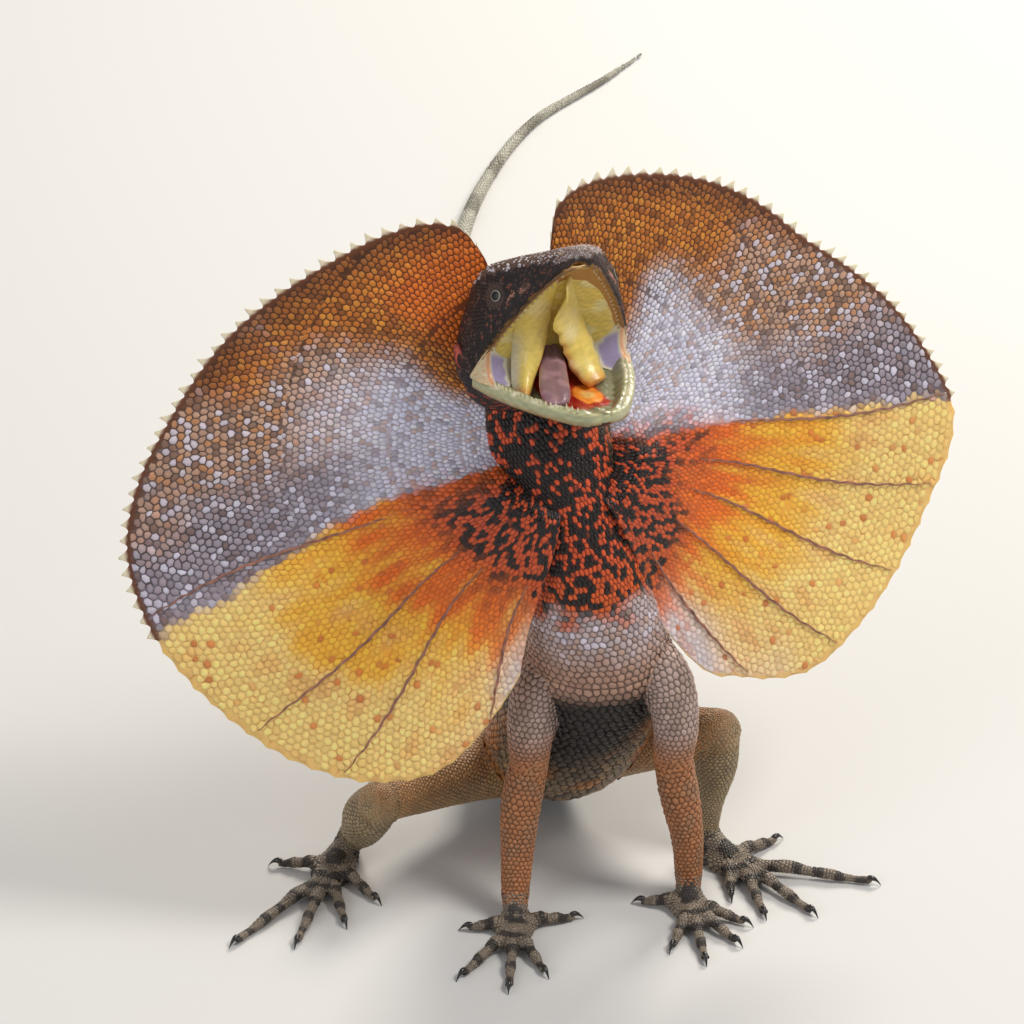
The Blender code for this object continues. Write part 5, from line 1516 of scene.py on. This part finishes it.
def floor_body():
    """The lower jaw's rim and floor, from outside the rim over it and down into the vault."""
    table = np.array(JAW_SECTIONS)
    reach, share = np.meshgrid(np.linspace(1.0, table[-1, 0] - 0.2, 110), np.linspace(-1.0, 1.0, 91),
                               indexing="ij")
    wide, vault = jaw_size(reach)
    side = np.abs(share)
    run = (1.0 - side) * (wide + 3.0)
    across = np.sign(share) * np.maximum(np.minimum(wide + 0.35, wide + 2.6 - run), 0.0)
    rim = np.interp(run, (0.0, 2.4, 3.6, 6.2, 8.6), (-2.6, 0.0, 0.45, 0.25, -0.7))
    hollow = -vault * step(5.0, 10.0, run) * 0.9
    lift = rim + np.where(run > 5.0, hollow, 0.0) + 0.9 * step(4.0, 7.0, run)
    wall = step(table[-1, 0] - 4.4, table[-1, 0] - 1.6, reach) * (run > 3.6)
    lift = lift + (0.3 - lift) * wall
    bumps = 0.22 * wander(np.stack((reach, across), axis=-1).reshape(-1, 2), 4.0, 55).reshape(reach.shape)
    lift = lift + bumps * step(2.4, 4.0, run)
    ends = np.concatenate((reach, reach[-1:] + 0.6, reach[-1:] + 1.0, reach[-1:] + 1.2))
    close = np.concatenate((np.ones(len(reach)), (0.86, 0.6, 0.3)))[:, None]
    near = np.concatenate((np.arange(len(reach)), [len(reach) - 1] * 3))
    reach, run, across, lift = ends, run[near], across[near] * close, lift[near]
    front = jaw_place(reach, np.ones_like(reach), across, lift)
    back = jaw_place(reach - (close < 1.0), np.ones_like(reach), across * 0.97, lift - 0.9)
    ahead, aside, run = reach.ravel(), across.ravel(), run.ravel()
    tint = np.broadcast_to(TONES["rim"], (ahead.size, 3))
    tint = blend(tint, TONES["gum white"],
                 step(0.0, 0.8, wander(front.reshape(-1, 3), 5.0, 54)) * step(2.0, 3.5, run))
    # painted shade: half as bright down the inner wall into the vault
    tint = blend(tint, TONES["rim"] * 0.5, step(4.4, 6.4, run))
    red = step(6.6, 8.4, run) * step(30.0, 26.0, ahead) * step(9.6, 8.2, np.abs(aside))
    tint = blend(tint, TONES["flesh red"] * (0.75 + 0.25 * np.sin(aside * 5.0))[:, None], red)
    glow = np.hypot(aside - 4.6, 0.7 * (ahead - 18.5))
    tint = blend(tint, TONES["flame"], step(4.6, 3.8, glow))
    tint = blend(tint, TONES["cream"], 0.8 * step(2.8, 1.0, glow))
    tint = blend(tint, TONES["palate edge"], 0.5 * step(1.0, 0.0, run))
    return sheet_body(front, back, tint * (1.0 + 0.10 * wander(front.reshape(-1, 3), 2.4, 56))[:, None])


def chin_body():
    """The front of the lower rim: an oval knob between its two sides."""
    tilt, turn = np.meshgrid(np.linspace(0.06, math.pi - 0.06, 24), circle(32), indexing="ij")
    reach = JAW_SECTIONS[-1][0] - 0.4 + 1.6 * np.sin(tilt) * np.cos(turn)
    points = jaw_place(reach, np.ones_like(reach), 3.2 * np.cos(tilt),
                       1.8 * np.sin(tilt) * np.sin(turn) - 1.2)
    body, faces = tube(points)
    return body, faces, TONES["rim"] * (1.0 + 0.10 * wander(body, 2.4, 59))[:, None]


def pocket_body():
    """The back of the mouth and its stretched corners: a curve from palate to floor at each place across."""
    places = ((0.0, 3.0), (10.0, 3.5), (16.0, 6.0), (20.0, 9.5), (22.3, 11.0), (23.6, 9.0), (25.0, 5.0),
              (25.9, 1.5))
    table = np.array(places)
    side, rate = np.meshgrid(np.linspace(-25.9, 25.9, 141), np.linspace(0.0, 1.0, 41), indexing="ij")
    reach = smooth(table[:, 0], table[:, 1:], np.abs(side).ravel()).reshape(side.shape)
    turn = math.radians(GAPE)
    vault = PALATE * np.clip(reach / PALATE_RISE, 0.0,
                             1.0) * np.clip(1.0 - (np.abs(side) / lip_half(reach)) ** 2.4, 0.0, 1.0)
    top = np.stack((side, reach, lip_line(reach) + vault - 0.2), axis=-1)
    floor = np.stack((side, reach * math.cos(turn), -reach * math.sin(turn)), axis=-1)
    floor[..., 2] += 0.5 - 3.4 * step(22.6, 18.0, np.abs(side)) * np.clip(reach / 8.0, 0.0, 1.0)
    bend = np.stack((side, 0.25 * reach, np.zeros_like(side)), axis=-1)
    r = rate[..., None]
    curve = (1 - r) ** 2 * top + 2 * r * (1 - r) * bend + r * r * floor
    front = head_place(curve)
    back = head_place(curve - np.array([0.0, 1.0, 0.0]))
    aside, down = np.abs(side).ravel(), rate.ravel()
    place = front.reshape(-1, 3)
    tint = blend(TONES["flesh red"] * 0.6, TONES["palate"], step(8.0, 10.0, aside))
    tint = blend(tint, TONES["gum white"], step(12.5, 14.5, aside))
    shade = step(15.6, 17.0, aside + 0.8 * wander(place, 5.0, 57)) * step(21.6, 20.6, aside)
    shade = shade * step(0.08, 0.22, down) * step(1.0, 0.85, down)
    tint = blend(tint, TONES["lilac"], shade)
    tint = blend(tint, TONES["fold edge"], 0.7 * step(21.2, 22.0, aside) * step(23.4, 22.6, aside))
    skin = scattered(np.broadcast_to(TONES["membrane"], tint.shape),
                     (("gum white", 0.35), ("fold edge", 0.12)), 58)
    return sheet_body(front, back, blend(tint, skin, step(22.6, 23.4, aside)))


def fold_body(path, seed):
    """A bulging fold: ovals along a smooth path of across, forward, up, half width and half thickness.

    Its lower half is bent back on the outer side, by the square of the cosine around the oval.
    """
    path = np.array(path)
    along = chords(path[:, :3])
    rows = smooth(along, path, np.linspace(0.0, along[-1], 70))
    turn = circle(40)
    tangent = unit(np.gradient(rows[:, :3], axis=0))
    across = unit(np.cross(tangent, (0.12, 1.0, 0.35)))
    across = across * np.sign(across[:, :1])
    out = np.cross(across, tangent)
    swell = 1.0 + 0.06 * wander(rows[:, :3], 7.0, seed)
    flat = rows[:, None, :3] + (rows[:, 3] * swell)[:, None, None] * np.cos(turn)[None, :,
                                                                                  None] * across[:, None]
    flat = flat + rows[:, 4, None, None] * np.sin(turn)[None, :, None] * out[:, None]
    outer = np.clip(np.cos(turn) * math.copysign(1.0, path[-1, 0] * across[-1, 0]), 0.0, 1.0)
    falling = step(0.35, 0.6, np.linspace(0.0, 1.0, 70))
    flat[..., 1] -= 4.5 * falling[:, None] * outer ** 2
    body, faces = tube(head_place(flat))
    rate = np.append(np.repeat(np.linspace(0.0, 1.0, 70), 40), (0.0, 1.0))
    tint = blend(TONES["fold"], TONES["palate pale"], 0.8 * step(-0.2, 1.6, wander(body, 14.0, seed + 1)))
    edge = np.append(np.tile(outer, 70), (0.0, 1.0))
    inner = np.append(np.tile(np.clip(1.0 - np.abs(np.cos(turn)), 0.0, 1.0) + outer, 70), (1.0, 1.0))
    tint = blend(tint, TONES["gum white"], 0.8 * step(0.45, 0.95, edge) * step(0.4, 0.6, rate))
    tint = blend(tint, TONES["fold edge"], 0.5 * step(0.25, 0.0, inner) * step(0.4, 0.7, rate))
    tint = blend(tint, TONES["fold edge"] * 1.1, 0.6 * step(0.9, 1.0, rate))
    return body, faces, tint * (1.0 + 0.07 * wander(body, 2.2, seed + 2))[:, None]


FOLDS = (                      # across, f, u, half width, half thickness
    ((-6.4, 29.0, 22.0, 3.0, 0.5), (-7.4, 23.0, 18.1, 5.0, 0.9), (-8.2, 15.5, 12.2, 6.2, 1.4),
     (-9.2, 9.8, 3.6, 4.3, 1.9), (-12.3, 9.3, -4.4, 2.7, 1.8), (-14.8, 11.6, -9.6, 1.8, 1.2)),
    ((0.4, 29.5, 22.4, 4.8, 0.5), (2.4, 23.0, 18.2, 7.2, 0.9), (3.9, 15.5, 12.1, 8.6, 1.6),
     (7.0, 10.5, 3.8, 6.8, 2.4), (8.8, 9.8, -4.2, 6.2, 2.8), (10.0, 12.2, -9.6, 4.0, 2.0)),
)
TONGUE = (                     # along the jaw, across it, height over the rim, half width, half thickness
    (-1.6, 0.2, 8.0, 1.0, 0.8), (2.4, -0.3, 5.6, 2.9, 1.6), (7.0, -1.9, 3.6, 4.2, 2.0),
          (13.0, -4.4, 2.5, 4.7, 2.2),
    (20.0, -7.2, 1.6, 4.9, 2.1), (26.5, -9.2, 0.6, 4.3, 1.7), (29.4, -9.9, 0.2, 3.0, 1.1),
)


class LIZARD_OT_mouth(LizardPiece, bpy.types.Operator):
    """The lining of both jaws, the back and corners of the mouth, its yellow folds and the tongue"""
    bl_idname = "lizard.mouth"
    bl_label = "Mouth"

    def build(self, sizes):
        wet = finish("wet_flesh", 0.34, 0.12, 0.0006, 0.3, soft=0.3, coat=0.3)
        parts = {"palate": palate_body(), "jaw_rim": floor_body(), "chin": chin_body(),
                 "mouth_pocket": pocket_body(),
                 "fold_right": fold_body(FOLDS[0], 61), "fold_left": fold_body(FOLDS[1], 65)}
        for name, (body, faces, tint) in parts.items():
            tied(turned_out(mesh_piece("lining_" + name, body, [faces], tint)), wet)
        rows = np.array(TONGUE)
        spots = np.linspace(rows[0, 0], rows[-1, 0], 60)
        turn = circle(36)
        reach, aside, lift, wide, thick = smooth(rows[:, 0], rows, spots).T[:, :, None]
        across = aside + wide * np.cos(turn)
        groove = 0.5 * np.exp(-(np.cos(turn) / 0.22) ** 2) * (np.sin(turn) > 0)
        over = lift + (thick - groove) * np.sin(turn)
        points = jaw_place(np.broadcast_to(reach, across.shape), np.ones_like(across), across, over)
        body, faces = tube(points)
        tint = blend(TONES["tongue"], TONES["tongue"] * 1.5, step(0.0, 1.0, wander(body, 5.0, 81)))
        tint = blend(tint, TONES["flesh red"] * 0.7,
                     0.4 * step(0.8, 1.0, np.append(np.tile(np.abs(np.cos(turn)), 60), (0, 0))))
        tied(turned_out(mesh_piece("tongue_flesh", body, [faces], tint)), wet, ("tongue",))


class LIZARD_OT_teeth(LizardPiece, bpy.types.Operator):
    """Small ivory teeth along the lower rim and inside the upper lip: cones drawn in to a point"""
    bl_idname = "lizard.teeth"
    bl_label = "Teeth"

    def build(self, sizes):
        turn = circle(8)
        rate = np.linspace(0.0, 1.0, 5)
        bodies = []
        draw = np.random.default_rng(77)
        for sign in (1.0, -1.0):
            for spot in np.arange(9.0, 37.0, 1.55):
                wide = jaw_size(spot)[0]
                tall = (0.9 if spot < 33.0 else 1.6) * draw.uniform(0.8, 1.15)
                radius = 0.55 * (1.0 - rate ** 1.6) + 0.03
                reach = spot + radius[:, None] * np.cos(turn)
                across = sign * (wide - 1.6) + radius[:, None] * np.sin(turn)
                lift = np.broadcast_to((0.1 + (tall + 0.5) * rate)[:, None], reach.shape)
                bodies.append(tube(jaw_place(reach, np.ones_like(reach), across, lift)))
            for spot in np.arange(8.0, 37.0, 1.7):
                tall = (0.45 if spot < 32.0 else 0.9) * draw.uniform(0.8, 1.15)
                radius = 0.45 * (1.0 - rate ** 1.6) + 0.03
                forward = spot + radius[:, None] * np.cos(turn)
                across = sign * (lip_half(spot) - 2.2) + radius[:, None] * np.sin(turn)
                up = lip_line(forward) + 0.2 - (tall * rate)[:, None]
                bodies.append(tube(head_place(np.stack((across, forward, up), axis=-1))))
        points, faces = joined(bodies)
        upper = head_local(points)[:, 2] > 3.0
        tint = blend(tone(206, 198, 160), TONES["palate edge"] * 1.4, 0.75 * upper)
        teeth = turned_out(mesh_piece("teeth", points, [faces], tint))
        tied(teeth, finish("tooth_ivory", 0.25, 0.12, 0.0008, 0.1, coat=0.6))


class LIZARD_OT_claws(LizardPiece, bpy.types.Operator):
    """Curved claws on every toe"""
    bl_idname = "lizard.claws"
    bl_label = "Claws"

    def build(self, sizes):
        toes = [toe for _, _, group in feet().values() for toe in group]
        root = np.array([toe[0] for toe in toes])
        tip = np.array([toe[1] for toe in toes])
        way = unit(tip - root)[:, None, None]
        side = unit(np.cross(way, (0.0, 0.0, 1.0)))
        t = np.linspace(0.0, 1.0, 12)[None, :, None]
        turn = (circle(10))[None, None, :]
        middle = tip[:, None, None] + way * (4.4 * (t - 0.35))[..., None]
        height = 2.0 + 0.9 * np.sin(math.pi * t) - 1.75 * t * t
        radius = 1.05 * (1.0 - 0.88 * t ** 1.3)
        points = middle + side * (radius * np.cos(turn))[..., None]
        points[..., 2] = np.maximum(height + radius * 1.15 * np.sin(turn), 0.05)
        points, faces = joined([tube(claw) for claw in points])
        share = np.concatenate((np.repeat(t.ravel(), 10), (0.0, 1.0)))
        tint = blend(tone(40, 34, 30), tone(16, 13, 12), np.tile(share, len(toes)))
        claws = turned_out(mesh_piece("claws", points, [faces], tint))
        tied(claws, finish("claw_horn", 0.3, 0.3, 0.0005, 0.15, coat=0.3))


def area_light(name, place, aim, size, power, colour):
    """A square soft light that looks at a point, places in metres."""
    lamp = bpy.data.lights.new(name, "AREA")
    lamp.energy = power
    lamp.size = size
    lamp.color = colour
    thing = bpy.data.objects.new(name, lamp)
    bpy.context.scene.collection.objects.link(thing)
    thing.location = place
    thing.rotation_euler = (Vector(aim) - Vector(place)).to_track_quat("-Z", "Y").to_euler()


class LIZARD_OT_stage(LizardPiece, bpy.types.Operator):
    """A plain pale floor, soft lights and the camera at the photograph's angle"""
    bl_idname = "lizard.stage"
    bl_label = "Stage"

    def build(self, sizes):
        mesh = bpy.data.meshes.new("floor")
        edge = 6.0
        mesh.from_pydata([(-edge, -edge, 0), (edge, -edge, 0), (edge, edge, 0), (-edge, edge, 0)], [],
                         [(0, 1, 2, 3)])
        floor = bpy.data.objects.new("floor", mesh)
        bpy.context.scene.collection.objects.link(floor)
        paint = bpy.data.materials.new("floor_paint")
        paint.use_nodes = True
        shader = paint.node_tree.nodes["Principled BSDF"]
        shader.inputs["Base Color"].default_value = (*sizes.floor_colour, 1.0)
        shader.inputs["Roughness"].default_value = 0.85
        mesh.materials.append(paint)
        scene = bpy.context.scene
        rise = math.radians(CAMERA_RISE)
        aim = (np.array(CAMERA_AIM) + HOME) * MM
        back = np.array([0.0, -math.cos(rise), math.sin(rise)])
        place = aim + CAMERA_AWAY * back
        lens = bpy.data.cameras.new("camera")
        lens.lens = CAMERA_LENS
        lens.sensor_width = 36.0
        lens.clip_end = 50.0
        camera = bpy.data.objects.new("camera", lens)
        scene.collection.objects.link(camera)
        up = np.array([0.0, math.sin(rise), math.cos(rise)])
        turn = Matrix(np.column_stack(((1.0, 0.0, 0.0), up, back)).tolist())
        camera.matrix_world = Matrix.Translation(Vector(place)) @ turn.to_4x4()
        scene.camera = camera
        world = scene.world or bpy.data.worlds.new("world")
        scene.world = world
        world.use_nodes = True
        sky = world.node_tree.nodes.get("Background") or world.node_tree.nodes.new("ShaderNodeBackground")
        sky.inputs["Color"].default_value = (0.93, 0.95, 1.0, 1.0)
        sky.inputs["Strength"].default_value = 0.42
        scene.view_settings.view_transform = "Standard"
        area_light("key", (0.9, -0.5, 1.5), (0.0, -0.25, 0.1), 0.5, sizes.key_light, (1.0, 0.97, 0.92))
        area_light("fill", (-1.2, -1.4, 0.9), (0.0, -0.25, 0.12), 1.0, 0.4 * sizes.key_light,
                   (0.94, 0.96, 1.0))
        area_light("back", (0.5, 0.9, 1.1), (0.0, -0.25, 0.15), 0.5, 1.3 * sizes.key_light, (1.0, 0.94, 0.84))


class LIZARD_PT_panel(bpy.types.Panel):
    """The operators and sizes in the sidebar"""
    bl_idname = "LIZARD_PT_panel"
    bl_label = "Frilled lizard"
    bl_space_type = "VIEW_3D"
    bl_region_type = "UI"
    bl_category = "Lizard"

    def draw(self, context):
        for operator in OPERATORS:
            self.layout.operator(operator.bl_idname)
        for name in LizardSizes.__annotations__:
            self.layout.prop(context.scene.lizard, name)


OPERATORS = (LIZARD_OT_skin, LIZARD_OT_body_scales, LIZARD_OT_frill, LIZARD_OT_frill_scales,
             LIZARD_OT_frill_rays,
             LIZARD_OT_eyes, LIZARD_OT_lids, LIZARD_OT_ears, LIZARD_OT_mouth, LIZARD_OT_teeth,
             LIZARD_OT_claws,
             LIZARD_OT_stage)


def register():
    """Registers the add-on's classes."""
    for kind in (LizardSizes,) + OPERATORS + (LIZARD_PT_panel,):
        bpy.utils.register_class(kind)
    bpy.types.Scene.lizard = bpy.props.PointerProperty(type=LizardSizes)


def unregister():
    """Takes the add-on's classes out again."""
    del bpy.types.Scene.lizard
    for kind in reversed((LizardSizes,) + OPERATORS + (LIZARD_PT_panel,)):
        bpy.utils.unregister_class(kind)


def main():
    register()
    for operator in OPERATORS:
        group, name = operator.bl_idname.split(".")
        getattr(getattr(bpy.ops, group), name)()


if __name__ == "__main__":
    main()
